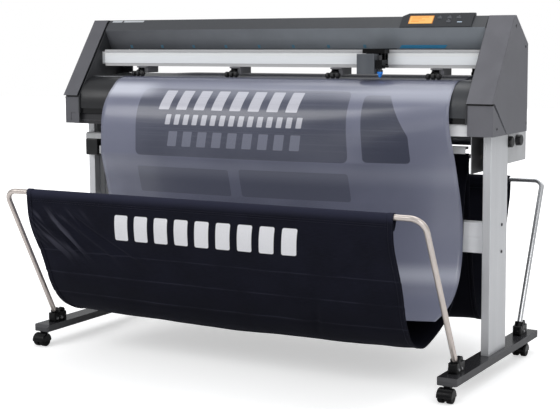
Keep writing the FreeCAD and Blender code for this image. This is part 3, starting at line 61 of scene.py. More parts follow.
BAR_RADIUS = 8.5 * MM                   # radius of the bent basket pipes
ROD_RADIUS = 6.0 * MM                   # radius of the basket's centre rod
front_pipe_low, front_pipe_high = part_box("basket_front_pipe")
rear_pipe_low, rear_pipe_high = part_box("basket_rear_pipe")
FRONT_BAR = (front_pipe_low.y + BAR_RADIUS, front_pipe_high.z - BAR_RADIUS)
REAR_BAR = (rear_pipe_high.y - BAR_RADIUS, rear_pipe_high.z - BAR_RADIUS)
CENTRE_ROD = (centre_of("basket_centre_rod").y, centre_of("basket_centre_rod").z)
CLOTH_LEFT, CLOTH_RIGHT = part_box("basket_fabric")[0].x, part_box("basket_fabric")[1].x

GUIDE_RADIUS = 85.0 * MM
guide_low, guide_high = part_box("front_guide")
GUIDE_CENTRE = (guide_low.y + GUIDE_RADIUS, guide_high.z - GUIDE_RADIUS)
FILM_LEFT, FILM_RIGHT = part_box("media_sheet")[0].x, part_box("media_sheet")[1].x
PLATEN_TOP = guide_high.z + 1.0 * MM

hood_low, hood_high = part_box("top_cover")
HOOD_LIP = (hood_low.y + 34.0 * MM, hood_high.z - 99.5 * MM)
HOOD_BREAK = (hood_low.y, hood_high.z - 34.5 * MM)
HOOD_CROWN = (hood_low.y + 31.0 * MM, hood_high.z)


# ---------------------------------------------------------------- material graphs
def srgb(red, green, blue):
    """Linear colour of an 8-bit display colour."""
    def linear(value):
        value = value / 255.0
        if value <= 0.04045:
            return value / 12.92
        return ((value + 0.055) / 1.055) ** 2.4
    return (linear(red), linear(green), linear(blue), 1.0)


def shade(colour, factor):
    """Colour made lighter or darker by a factor."""
    return tuple(min(1.0, channel * factor) for channel in colour[:3]) + (1.0,)


class Graph:
    """A material with one Principled shader and short calls for the nodes that feed it."""

    def __init__(self, name):
        self.material = bpy.data.materials.new(name)
        self.material.use_nodes = True
        self.tree = self.material.node_tree
        self.tree.nodes.clear()
        output = self.tree.nodes.new("ShaderNodeOutputMaterial")
        self.shader = self.tree.nodes.new("ShaderNodeBsdfPrincipled")
        self.tree.links.new(self.shader.outputs[0], output.inputs[0])
        self.place = self.node("ShaderNodeTexCoord").outputs["Object"]

    def node(self, kind, **settings):
        made = self.tree.nodes.new(kind)
        for key, value in settings.items():
            setattr(made, key, value)
        return made

    def feed(self, socket, value):
        """Link an output socket, or set a plain value."""
        if isinstance(value, bpy.types.NodeSocket):
            self.tree.links.new(value, socket)
        else:
            socket.default_value = value

    def set(self, **inputs):
        """Feed the shader's inputs, named with underscores for spaces."""
        for key, value in inputs.items():
            self.feed(self.shader.inputs[key.replace("_", " ")], value)

    def math(self, operation, first, second=0.0):
        made = self.node("ShaderNodeMath", operation=operation)
        self.feed(made.inputs[0], first)
        self.feed(made.inputs[1], second)
        return made.outputs[0]

    def axes(self, vector=None):
        """The three parts of a vector."""
        made = self.node("ShaderNodeSeparateXYZ")
        self.feed(made.inputs[0], vector or self.place)
        return made.outputs

    def times(self, first, *others):
        """Product of several values."""
        for other in others:
            first = self.math("MULTIPLY", first, other)
        return first

    def minus(self, first, second):
        return self.math("SUBTRACT", first, second)

    def pair(self, first, second):
        """Vector made of two values."""
        made = self.node("ShaderNodeCombineXYZ")
        self.feed(made.inputs[0], first)
        self.feed(made.inputs[1], second)
        return made.outputs[0]

    def stretched(self, stretch, vector=None):
        """The vector scaled by three factors."""
        made = self.node("ShaderNodeMapping")
        self.feed(made.inputs["Vector"], vector or self.place)
        made.inputs["Scale"].default_value = stretch
        return made.outputs[0]

    def noise(self, size, detail=2.0, stretch=(1.0, 1.0, 1.0), vector=None):
        """Noise whose features are about as large as the size in metres."""
        made = self.node("ShaderNodeTexNoise")
        self.feed(made.inputs["Vector"], self.stretched(stretch, vector))
        made.inputs["Scale"].default_value = 1.0 / size
        made.inputs["Detail"].default_value = detail
        return made.outputs[0]

    def span(self, value, low=0.3, high=0.7, low_out=0.0, high_out=1.0, smooth=True):
        """Map a range to another, clamped; the usual range is the one a noise fills."""
        made = self.node("ShaderNodeMapRange")
        made.interpolation_type = "SMOOTHSTEP" if smooth else "LINEAR"
        self.feed(made.inputs["Value"], value)
        for key, number in (("From Min", low), ("From Max", high), ("To Min", low_out),
                            ("To Max", high_out)):
            made.inputs[key].default_value = number
        return made.outputs[0]

    def over(self, noise, low_out, high_out):
        """A noise mapped from its usual range to two values."""
        return self.span(noise, low_out=low_out, high_out=high_out)

    def grain(self, fine_size, cloud_size):
        """A fine and a cloudy noise."""
        return self.noise(fine_size, detail=2), self.noise(cloud_size, detail=4)

    def mix(self, factor, first, second):
        """Blend of two colours."""
        made = self.node("ShaderNodeMix", data_type="RGBA")
        self.feed(made.inputs[0], factor)
        self.feed(made.inputs[6], first)
        self.feed(made.inputs[7], second)
        return made.outputs[2]

    def bump(self, height, depth, strength=1.0, normal=None):
        made = self.node("ShaderNodeBump")
        made.inputs["Strength"].default_value = strength
        made.inputs["Distance"].default_value = depth
        self.feed(made.inputs["Height"], height)
        if normal is not None:
            self.feed(made.inputs["Normal"], normal)
        return made.outputs[0]

    def rounded_normal(self, radius):
        """Normal with the hard edges softened over a radius."""
        made = self.node("ShaderNodeBevel", samples=4)
        made.inputs["Radius"].default_value = radius
        return made.outputs[0]

    def edge_mask(self, radius):
        """One along the hard edges and zero on the flats."""
        geometry = self.node("ShaderNodeNewGeometry")
        product = self.node("ShaderNodeVectorMath", operation="DOT_PRODUCT")
        self.feed(product.inputs[0], self.rounded_normal(radius))
        self.feed(product.inputs[1], geometry.outputs["Normal"])
        return self.span(product.outputs["Value"], 0.99, 0.80)

    def rubbed(self, tone, radius, share, colour):
        """The tone with the hard edges worn to another colour."""
        return self.mix(self.times(self.edge_mask(radius), share), tone, colour)

    def finish(self, tone, rough, height, depth, strength, edge, **inputs):
        """Feed tone, roughness and a bump laid over softened edges, and give the material."""
        self.set(Base_Color=tone, Roughness=rough,
                 Normal=self.bump(height, depth, strength, self.rounded_normal(edge)), **inputs)
        return self.material

    def normal_axes(self):
        """The three parts of the surface normal."""
        geometry = self.node("ShaderNodeNewGeometry")
        return self.axes(geometry.outputs["True Normal"])

    def slanted_box(self, across, along, middle, half, corner, slant=0.0, blur=0.4 * MM):
        """One inside a round-cornered box that may lean; its axes are two sockets in metres."""
        offset_along = self.minus(along, middle[1])
        offset_across = self.minus(self.minus(across, middle[0]), self.times(offset_along, slant))
        squares = []
        for offset, reach in ((offset_across, half[0]), (offset_along, half[1])):
            over = self.minus(self.math("ABSOLUTE", offset), reach - corner)
            outside = self.math("MAXIMUM", over, 0.0)
            squares.append(self.times(outside, outside))
        distance = self.math("SQRT", self.math("ADD", *squares))
        return self.span(distance, corner + blur, corner - blur)

    def union(self, masks):
        total = masks[0]
        for mask in masks[1:]:
            total = self.math("MAXIMUM", total, mask)
        return total


def moulded(name, colour, roughness=0.45, grain=0.06 * MM, grain_size=0.9 * MM, wear=0.5,
            edge=1.0 * MM, variation=0.06, shine=0.5, painted_left_shade=0.0):
    """Moulded or powder-coated surface: fine grain, cloudy tone, polished and paler edges, and
    painted shade toward the left.
    """
    g = Graph(name)
    fine, cloudy = g.grain(grain_size, 70 * MM)
    low, high = shade(colour, 1 - variation), shade(colour, 1 + variation)
    tone = g.mix(g.span(cloudy), low, high)
    tone = g.mix(g.span(fine, 0.35, 0.75, 0.0, 0.35), tone, shade(colour, 1.25))
    scuff = g.span(g.noise(6 * MM, detail=5), 0.40, 0.62)
    tone = g.rubbed(tone, edge, g.times(scuff, wear), shade(colour, 2.1))
    # Painted shade: darker toward the machine's left, where less light falls.
    darker = g.span(g.axes()[0], 0.75, -0.75, 0.0, painted_left_shade, smooth=False)
    tone = g.mix(darker, tone, shade(colour, 0.4))
    rough = g.over(cloudy, roughness - 0.05, roughness + 0.06)
    return g.finish(tone, rough, fine, grain, 0.8, edge, Specular_IOR_Level=shine)


def brushed(name, colour, stretch, roughness=0.32, depth=0.02 * MM, streak=0.12, edge=0.8 * MM,
            metallic=1.0, painted_low_shade=0.0):
    """Metal with streaks drawn out along one axis; the stretch factor is small on that axis.
    Painted shade can darken it toward the floor.
    """
    g = Graph(name)
    lines = g.noise(1.6 * MM, detail=3, stretch=stretch)
    broad = g.noise(25 * MM, detail=3, stretch=stretch)
    cloudy = g.noise(120 * MM, detail=3)
    tone = g.mix(g.span(broad), shade(colour, 1 - streak), shade(colour, 1 + streak * 0.6))
    tone = g.mix(g.over(lines, 0.0, 0.4), tone, shade(colour, 1 - 1.6 * streak))
    tone = g.rubbed(tone, edge, 0.5, shade(colour, 1.25))
    # Painted shade: darker low down, toward the floor.
    painted_floor_shade = g.span(g.axes()[2], 0.60, 0.15, 0.0, painted_low_shade, smooth=False)
    tone = g.mix(painted_floor_shade, tone, shade(colour, 0.5))
    rough = g.math("ADD", g.span(lines, 0.25, 0.75, -0.06, 0.08),
                   g.over(cloudy, roughness - 0.04, roughness + 0.05))
    return g.finish(tone, rough, lines, depth, 0.6, edge, Metallic=metallic)


def rubber(name, colour, roughness=0.7, dusty=0.35, shine=0.5):
    """Matt rubber with dusty patches."""
    g = Graph(name)
    fine = g.noise(0.7 * MM, detail=3)
    dust = g.span(g.noise(9 * MM, detail=5), 0.52, 0.72)
    tone = g.mix(g.times(dust, dusty), colour, srgb(96, 94, 90))
    rough = g.span(dust, 0.0, 1.0, roughness, 0.92)
    return g.finish(tone, rough, fine, 0.05 * MM, 0.7, 0.8 * MM, Specular_IOR_Level=shine)


# ---------------------------------------------------------------- finishes of the machine
def hood_material():
    """Hood: a darker sloped top and a paler fascia, painted brighter toward the right as painted
    light.
    """
    g = Graph("hood_grey")
    fine, cloudy = g.grain(0.9 * MM, 90 * MM)
    across = g.axes()[0]
    # Painted light: the fascia brightens toward the right, where more light falls.
    fascia = g.mix(g.span(across, -0.65, 0.35, smooth=False), srgb(90, 92, 97), srgb(136, 142, 149))
    strip = srgb(68, 70, 74)
    facing_down = g.span(g.normal_axes()[2], 0.02, -0.02)
    tone = g.mix(facing_down, strip, fascia)
    tone = g.mix(g.over(cloudy, 0.0, 0.12), tone, shade(strip, 0.8))
    tone = g.rubbed(tone, 1.2 * MM, 0.35, srgb(150, 152, 156))
    return g.finish(tone, g.over(cloudy, 0.40, 0.52), fine, 0.05 * MM, 0.7, 1.2 * MM)


def stock_roller_material():
    """Dull metal tube with black plastic knobs outside the brackets."""
    g = Graph("roller_metal")
    knob_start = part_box("upper_frame")[1].x
    beyond = g.span(g.math("ABSOLUTE", g.axes()[0]), knob_start - 0.2 * MM, knob_start + 0.3 * MM)
    lines = g.noise(1.5 * MM, detail=3, stretch=(0.02, 1.0, 1.0))
    metal = g.mix(g.span(lines), srgb(128, 130, 134), srgb(176, 178, 182))
    return g.finish(g.mix(beyond, metal, srgb(28, 28, 30)), g.span(lines, 0.2, 0.8, 0.30, 0.46),
                    g.noise(0.8 * MM), 0.03 * MM, 0.6, 0.8 * MM, Metallic=g.minus(1.0, beyond))


def rail_material():
    """Anodised rail painted band over band in tones that are painted light and painted reflection,
    for how each flat catches the light.
    """
    g = Graph("rail_aluminium")
    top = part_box("y_rail")[1].z
    up = g.axes()[2]
    lines = g.noise(1.6 * MM, detail=2, stretch=(0.01, 1.0, 1.0))
    # Painted light and reflection: grey along the top, a pale band, a bluish-white painted
    # reflection, and a greyer band below.
    tone = srgb(192, 192, 194)
    for down, colour in ((8.0 * MM, srgb(246, 247, 248)), (20.0 * MM, srgb(247, 250, 253)),
                         (45.5 * MM, srgb(198, 198, 199))):
        start = top - down
        tone = g.mix(g.span(up, start + 0.5 * MM, start - 0.5 * MM), tone, colour)
    tone = g.mix(g.over(lines, 0.0, 0.04), tone, srgb(120, 122, 126))
    tone = g.rubbed(tone, 0.6 * MM, 0.4, srgb(246, 247, 250))
    return g.finish(tone, g.span(lines, 0.2, 0.8, 0.30, 0.36), lines, 0.01 * MM, 0.4, 0.6 * MM)


def beam_material():
    """Light painted beam with near-black ends; the dark of the left end is painted shade."""
    g = Graph("beam_steel")
    across = g.axes()[0]
    fine, cloudy = g.grain(0.9 * MM, 80 * MM)
    # Near-black beyond these points; at the left the dark is painted shade.
    shaded_left_end, dark_right_end, blur = -0.601, 0.691, 1.0 * MM
    ends = g.math("MAXIMUM", g.span(across, shaded_left_end + blur, shaded_left_end - blur),
                  g.span(across, dark_right_end - blur, dark_right_end + blur))
    light = g.mix(g.span(cloudy), srgb(238, 239, 241), srgb(247, 248, 250))
    tone = g.mix(ends, light, srgb(48, 48, 51))
    tone = g.rubbed(tone, 0.8 * MM, 0.3, srgb(226, 227, 230))
    return g.finish(tone, g.over(cloudy, 0.36, 0.44), fine, 0.03 * MM, 0.7, 0.8 * MM)


def frame_light_material():
    """Light powder coat; the hollow of the channel beside the right column is in deep shade."""
    g = Graph("frame_light")
    column_width, channel_reach = 26.0 * MM, 55.0 * MM
    column_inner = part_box("columns")[1].x - column_width
    across = g.axes()[0]
    fine, cloudy = g.grain(0.9 * MM, 70 * MM)
    start = column_inner - channel_reach
    hollow = g.times(g.span(across, start - 5 * MM, start + 5 * MM),
                     g.span(across, column_inner + 0.5 * MM, column_inner - 0.5 * MM),
                     g.span(g.normal_axes()[0], 0.5, 0.6))
    tone = g.mix(g.span(cloudy), srgb(186, 187, 189), srgb(202, 203, 205))
    tone = g.mix(g.times(hollow, 0.9), tone, srgb(62, 62, 63))
    tone = g.rubbed(tone, 1.0 * MM, 0.15, srgb(226, 227, 229))
    return g.finish(tone, g.over(cloudy, 0.31, 0.42), fine, 0.03 * MM, 0.8, 1.0 * MM)


def guide_material():
    """Black guide: satin above, glossy below, paler toward the right where it catches light."""
    g = Graph("guide_black")
    across, _, up = g.axes()
    fine, cloudy = g.grain(0.9 * MM, 90 * MM)
    tone = g.mix(g.span(across, -0.60, 0.55), srgb(30, 31, 34), srgb(62, 64, 68))
    split = guide_high.z - 105.0 * MM
    lower = g.span(up, split + 0.6 * MM, split - 0.6 * MM)
    tone = g.mix(lower, tone, srgb(18, 18, 20))
    tone = g.mix(g.over(cloudy, 0.0, 0.15), tone, srgb(20, 20, 22))
    tone = g.rubbed(tone, 0.8 * MM, 0.35, srgb(110, 112, 116))
    rough = g.minus(g.over(cloudy, 0.34, 0.42), g.times(lower, 0.18))
    return g.finish(tone, rough, fine, 0.03 * MM, 0.7, 0.8 * MM)


def foot_material():
    """Steel foot: dull dark grey down the sides and glossier on top, where it is painted darker as
    painted shade.
    """
    g = Graph("foot_grey")
    fine, cloudy = g.grain(1.6 * MM, 60 * MM)
    # Painted shade: the faces that point up are painted darker than the sides.
    top = g.span(g.normal_axes()[2], 0.5, 0.8)
    tone = g.mix(top, srgb(66, 66, 69), srgb(48, 48, 51))
    tone = g.mix(g.over(cloudy, 0.0, 0.2), tone, srgb(44, 44, 46))
    tone = g.rubbed(tone, 1.2 * MM, 0.6, srgb(112, 112, 115))
    return g.finish(tone, g.span(top, 0.0, 1.0, 0.46, 0.22), fine, 0.07 * MM, 0.6, 1.2 * MM)


def pen_material():
    """Blade holder: blue knurled end under a dark cap."""
    g = Graph("pen_blue")
    blue_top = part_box("cutter_pen")[0].z + 21.0 * MM
    fine = g.noise(0.6 * MM, detail=2)
    dark = g.span(g.axes()[2], blue_top - 0.2 * MM, blue_top + 0.2 * MM)
    tone = g.mix(dark, srgb(28, 134, 236), srgb(40, 41, 45))
    tone = g.rubbed(tone, 0.5 * MM, 0.4, srgb(170, 200, 235))
    return g.finish(tone, g.span(dark, 0.0, 1.0, 0.28, 0.40), fine, 0.03 * MM, 0.6, 0.5 * MM,
                    Coat_Weight=0.2)


def lcd_material():
    """Back-lit amber display with plain bars where a menu would be."""
    g = Graph("lcd_glass")
    low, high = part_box("lcd_window")
    across, _, up = g.axes()
    middle, half = (low + high) / 2, (high - low) / 2
    margin, first_row, row_pitch = 8.0 * MM, 4.5 * MM, 4.3 * MM
    bars = []
    for row, share in enumerate((0.86, 0.52, 0.70, 0.40)):
        z = high.z - first_row - row_pitch * row
        reach = (half.x - margin) * share
        bars.append(g.slanted_box(across, up, (low.x + margin + reach, z), (reach, 0.9 * MM),
                                  0.4 * MM))
    inside = g.slanted_box(across, up, (middle.x, middle.z),
                           (half.x - 2.5 * MM, half.z - 1.5 * MM), 1.5 * MM)
    glow = g.mix(g.union(bars), srgb(255, 200, 116), srgb(238, 156, 70))
    glow = g.mix(inside, srgb(222, 146, 66), glow)
    flicker = g.span(g.noise(12 * MM, detail=2), low_out=0.84, high_out=0.94, smooth=False)
    g.set(Base_Color=srgb(120, 70, 25), Roughness=0.12, Coat_Weight=0.6, Emission_Color=glow,
          Emission_Strength=flicker)
    return g.material


def machine_materials():
    """One finish for each material slot of the CAD record that keeps its CAD shape."""
    along_x, along_y, along_z = (0.02, 1.0, 1.0), (1.0, 0.02, 1.0), (1.0, 1.0, 0.02)
    made = (
        hood_material(), guide_material(), frame_light_material(), foot_material(),
        rail_material(), beam_material(), stock_roller_material(), lcd_material(), pen_material(),
        moulded("cover_grey", srgb(106, 106, 112), 0.42, wear=0.35, painted_left_shade=0.42),
        # Painted shade: the carriage cover gets a darker copy of the cover grey.
        moulded("carriage_shaded_grey", srgb(88, 92, 98), 0.38, wear=0.35),
        moulded("frame_black", srgb(52, 53, 56), 0.48, wear=0.4),
        moulded("panel_dark", srgb(50, 52, 56), 0.44, wear=0.25, shine=0.3),
        moulded("black_plastic", srgb(12, 12, 14), 0.26, grain=0.02 * MM, wear=0.2, shine=0.20),
        moulded("pinch_grey", srgb(112, 112, 116), 0.38, wear=0.5),
        moulded("key_grey", srgb(78, 80, 86), 0.40, wear=0.4),
        brushed("aluminium", srgb(232, 233, 236), along_z, 0.38, streak=0.04, metallic=0.5,
                painted_low_shade=0.36),
        # Painted light: a paler, dull copy of the aluminium lifts the cross stay out of the shade
        # it stands in.
        brushed("stay_aluminium_lit", srgb(246, 247, 250), along_x, 0.42, streak=0.03, metallic=0.0),
        brushed("platen_metal", srgb(184, 186, 190), along_x, 0.30, streak=0.05, metallic=0.6),
        brushed("steel_pipe", srgb(196, 190, 182), along_z, 0.22, depth=0.004 * MM, streak=0.03),
        brushed("shaft_steel", srgb(188, 188, 190), along_y, 0.28, streak=0.15),
        brushed("screw_steel", srgb(90, 90, 94), along_y, 0.30, streak=0.2),
        rubber("belt_rubber", srgb(26, 26, 27)),
        rubber("roller_rubber", srgb(34, 34, 36), 0.6),
        rubber("wheel_rubber", srgb(9, 9, 10), 0.42, dusty=0.08, shine=0.12),
    )
    return {plain_name(material): material for material in made}


def plain_name(material):
    """Material's name without the number Blender adds to a repeated one."""
    return material.name.split(".")[0]


NODE_FINISH = {"y_rail": "rail_aluminium", "cross_stay": "stay_aluminium_lit",
               "main_beam": "beam_steel", "carriage_cover": "carriage_shaded_grey"}


def paint_machine(materials):
    """Give every CAD node its finish."""
    for name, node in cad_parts.items():
        for index, slot in enumerate(node.data.materials):
            finish = NODE_FINISH.get(name, plain_name(slot))
            if finish in materials:
                node.data.materials[index] = materials[finish]


# ---------------------------------------------------------------- mesh helpers
RIGHT = Vector((1, 0, 0))


def add_object(name, points, faces, material, smooth=False):
    """New mesh object in the row frame."""
    mesh = bpy.data.meshes.new(name)
    mesh.from_pydata([tuple(p) for p in points], [], faces)
    mesh.validate()
    mesh.update()
    if smooth:
        mesh.polygons.foreach_set("use_smooth", [True] * len(mesh.polygons))
    made = bpy.data.objects.new(name, mesh)
    bpy.context.scene.collection.objects.link(made)
    mesh.materials.append(material)
    return made


def ride_machine(made):
    """Fix a finished piece to the machine's body."""
    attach(made, "machine")


def add_piece(name, shape, material):
    """Add (points, faces) as a piece of the machine."""
    ride_machine(add_object(name, *shape, material))


def join_parts(parts):
    """Points and faces of several small shapes as one list."""
    points, faces = [], []
    for part_points, part_faces in parts:
        start = len(points)
        points.extend(part_points)
        faces.extend([[index + start for index in face] for face in part_faces])
    return points, faces


def ring_faces(rings, count, closed=True):
    """Faces between rings of points, with flat ends where the shape is closed."""
    faces = []
    for first in range(0, (rings - 1) * count, count):
        for step in range(count):
            after = (step + 1) % count
            faces.append([first + step, first + after, first + count + after,
                          first + count + step])
    if closed:
        faces.append(list(reversed(range(count))))
        faces.append(list(range((rings - 1) * count, rings * count)))
    return faces


def rounded_prism(centre, up, size, corner, rings, lean=0.0, steps=4):
    """Round-cornered outline repeated at (inset, level) pairs along its own normal."""
    out = RIGHT.cross(up).normalized()
    points = []
    for inset, level in rings:
        for quarter, (sign_x, sign_y) in enumerate(((1, 1), (-1, 1), (-1, -1), (1, -1))):
            for step in range(steps + 1):
                angle = math.radians(90 * quarter + 90 * step / steps)
                x = sign_x * (size[0] / 2 - corner) + (corner - inset) * math.cos(angle)
                y = sign_y * (size[1] / 2 - corner) + (corner - inset) * math.sin(angle)
                points.append(centre + RIGHT * (x + lean * y) + up * y + out * level)
    return points, ring_faces(len(rings), 4 * (steps + 1))


def plate(centre, up, width, height, corner, thickness, lean=0.0):
    """Thin round-cornered plate with a bevelled rim, standing on a surface."""
    rim = min(thickness * 0.4, corner * 0.5)
    rings = [(0.0, 0.0), (0.0, thickness - rim), (rim, thickness)]
    return rounded_prism(centre, up, (width, height), corner, rings, lean)


def round_block(low, high, corner, steps=3):
    """Block with rounded vertical and horizontal edges."""
    size = high - low
    rings = []
    for step in range(steps + 1):
        angle = math.pi / 2 * step / steps
        rings.append((corner * (1 - math.sin(angle)), -size.z / 2 + corner * (1 - math.cos(angle))))
    rings += [(inset, -level) for inset, level in reversed(rings)]
    return rounded_prism((low + high) / 2, Vector((0, 1, 0)), size, corner, rings, steps=steps)


def turned(start, axis, profile, count):
    """Polygonal solid along an axis from (distance, radius) pairs."""
    axis = axis.normalized()
    side = axis.orthogonal().normalized()
    other = axis.cross(side)
    points = []
    for distance, radius in profile:
        for step in range(count):
            angle = 2 * math.pi * step / count
            points.append(start + axis * distance
                          + (side * math.cos(angle) + other * math.sin(angle)) * radius)
    return points, ring_faces(len(profile), count)


def smooth_path(points, spacing):
    """Evenly spaced points along a smooth curve through (Y, Z) points, with distances along it."""
    knots = np.array(points, float)
    padded = np.vstack([2 * knots[0] - knots[1], knots, 2 * knots[-1] - knots[-2]])
    dense = []

    def between(first, second, start, end, t):
        return (end - t) / (end - start) * first + (t - start) / (end - start) * second

    for index in range(1, len(padded) - 2):
        p = padded[index - 1:index + 3]
        steps = np.sqrt(np.linalg.norm(np.diff(p, axis=0), axis=1))
        t0, t1, t2, t3 = 0.0, *np.cumsum(steps)
        for t in np.linspace(t1, t2, 24, endpoint=False):
            a1 = between(p[0], p[1], t0, t1, t)
            a2 = between(p[1], p[2], t1, t2, t)
            a3 = between(p[2], p[3], t2, t3, t)
            b1 = between(a1, a2, t0, t2, t)
            b2 = between(a2, a3, t1, t3, t)
            dense.append(between(b1, b2, t1, t2, t))
    dense.append(knots[-1])
    dense = np.array(dense)
    along = np.concatenate([[0.0], np.cumsum(np.linalg.norm(np.diff(dense, axis=0), axis=1))])
    count = max(2, int(round(along[-1] / spacing)) + 1)
    even = np.linspace(0.0, along[-1], count)
    y = np.interp(even, along, dense[:, 0])
    z = np.interp(even, along, dense[:, 1])
    return np.stack([y, z], axis=1), even


def path_tangent(path, along):
    """Unit direction of the path at each of its points."""
    tangent = np.gradient(path, along, axis=0)
    return tangent / np.linalg.norm(tangent, axis=1)[:, None]


def sheet(name, path, along, x_values, displace, material, thickness):
    """Sheet swept along X from a (Y, Z) path; displace(x, s) gives a push along the normal and
    an offset in X, Y and Z."""
    tangent = path_tangent(path, along)
    normal = np.stack([-tangent[:, 1], tangent[:, 0]], axis=1)
    grid_x, grid_s = np.meshgrid(x_values, along)
    push, offset = displace(grid_x, grid_s)
    y = path[:, 0][:, None] + normal[:, 0][:, None] * push + offset[1]
    z = path[:, 1][:, None] + normal[:, 1][:, None] * push + offset[2]
    points = np.stack([grid_x + offset[0], y, z], axis=2).reshape(-1, 3)
    rows, columns = grid_x.shape
    first = np.arange(rows * columns).reshape(rows, columns)
    quads = np.stack([first[:-1, :-1], first[:-1, 1:], first[1:, 1:], first[1:, :-1]], axis=2)
    made = add_object(name, points, quads.reshape(-1, 4).tolist(), material, smooth=True)
    uv = made.data.uv_layers.new(name="sheet")
    loops = np.zeros(len(made.data.loops), int)
    made.data.loops.foreach_get("vertex_index", loops)
    flat = np.stack([grid_x.ravel(), grid_s.ravel()], axis=1)[loops]
    uv.data.foreach_set("uv", flat.astype(np.float32).ravel())
    solid = made.modifiers.new("thickness", "SOLIDIFY")
    solid.thickness = thickness
    solid.offset = 0.0
    return made


def value_noise(x, y, size, seed):
    """Smooth repeatable noise between -1 and 1 on arrays of positions."""
    table = np.random.RandomState(seed).uniform(-1.0, 1.0, (64, 64))
    u, v = x / size + 100.0, y / size + 100.0
    i, j = np.floor(u).astype(int), np.floor(v).astype(int)
    fu, fv = u - i, v - j
    fu, fv = fu * fu * (3 - 2 * fu), fv * fv * (3 - 2 * fv)
    a, b = table[i % 64, j % 64], table[(i + 1) % 64, j % 64]
    c, d = table[i % 64, (j + 1) % 64], table[(i + 1) % 64, (j + 1) % 64]
    return (a * (1 - fu) + b * fu) * (1 - fv) + (c * (1 - fu) + d * fu) * fv


# ---------------------------------------------------------------- basket cloth
CLOTH_THICKNESS = 1.2 * MM
SLEEVE_GAP = 2.0 * MM                   # from a bar's surface to the middle of the cloth
SLEEVE_LENGTH = 36.0 * MM               # from a bar to the seam under it
MARK_LEFT, MARK_RIGHT = -313.0 * MM, 347.0 * MM
MARK_TOP, MARK_BOTTOM = 64.0 * MM, 150.0 * MM   # distances below the front bar
MARK_BLOCKS = 9
CREASES = (0.209, 0.288, 0.368)         # packing creases, metres down from the front bar
FOLDS = (                               # X where a pulled fold starts, its lean, its length
    (-0.61, 0.80, 0.13), (-0.57, 0.55, 0.12), (-0.54, 1.05, 0.14), (-0.50, 1.35, 0.12),
    (0.60, -0.9, 0.08), (0.55, -1.3, 0.08))


def cloth_path():
    """(Y, Z) outline of the basket cloth, from the seam inside the front sleeve to the rear one."""
    wrap = BAR_RADIUS + SLEEVE_GAP
    rod_wrap = ROD_RADIUS + SLEEVE_GAP
    front_y, front_z = FRONT_BAR
    rear_y, rear_z = REAR_BAR
    rod_y, rod_z = CENTRE_ROD

    def arc(centre, radius, start, end, count):
        return [(centre[0] + radius * math.cos(math.radians(angle)),
                 centre[1] + radius * math.sin(math.radians(angle)))
                for angle in np.linspace(start, end, count)]

    points = [(front_y - 3.0 * MM, front_z - SLEEVE_LENGTH), (front_y + 5 * MM, front_z - 24 * MM)]
    points += arc(FRONT_BAR, wrap, -15, 195, 9)
    points += [(front_y + y * MM, front_z + z * MM) for y, z in (
        (-8.5, -SLEEVE_LENGTH / MM), (-4, -72), (9, -111), (49, -197), (86, -296), (139, -369),
        (185, -396), (237, -411), (333, -389), (403, -345), (448, -294), (480, -219),
        (495, -139), (499, -69), (514, 21))]
    points += [(rod_y - 4.5 * MM, rod_z - 34 * MM), (rod_y - 4.0 * MM, rod_z - 22 * MM)]
    points += arc(CENTRE_ROD, rod_wrap, 205, -25, 9)
    points += [(rod_y + 4.0 * MM, rod_z - 22 * MM), (rod_y + 4.5 * MM, rod_z - 34 * MM)]
    points += [(rear_y + y * MM, rear_z + z * MM) for y, z in (
        (-423, 17), (-407, -85), (-371, -192), (-322, -323), (-267, -415), (-207, -431),
        (-143, -393), (-83, -303), (-31, -163), (-6, -90), (5, -60), (8.5, -SLEEVE_LENGTH / MM))]
    points += arc(REAR_BAR, wrap, -15, 195, 9)
    points += [(rear_y - 5 * MM, rear_z - 24 * MM), (rear_y + 3.0 * MM, rear_z - SLEEVE_LENGTH)]
    return points


def fade(value, start, end):
    """Smooth step from 0 at start to 1 at end, on arrays."""
    t = np.clip((value - start) / (end - start), 0.0, 1.0)
    return t * t * (3 - 2 * t)


def ridge(value, width):
    """Rounded ridge of height one at zero."""
    return np.exp(-(value / width) ** 2)


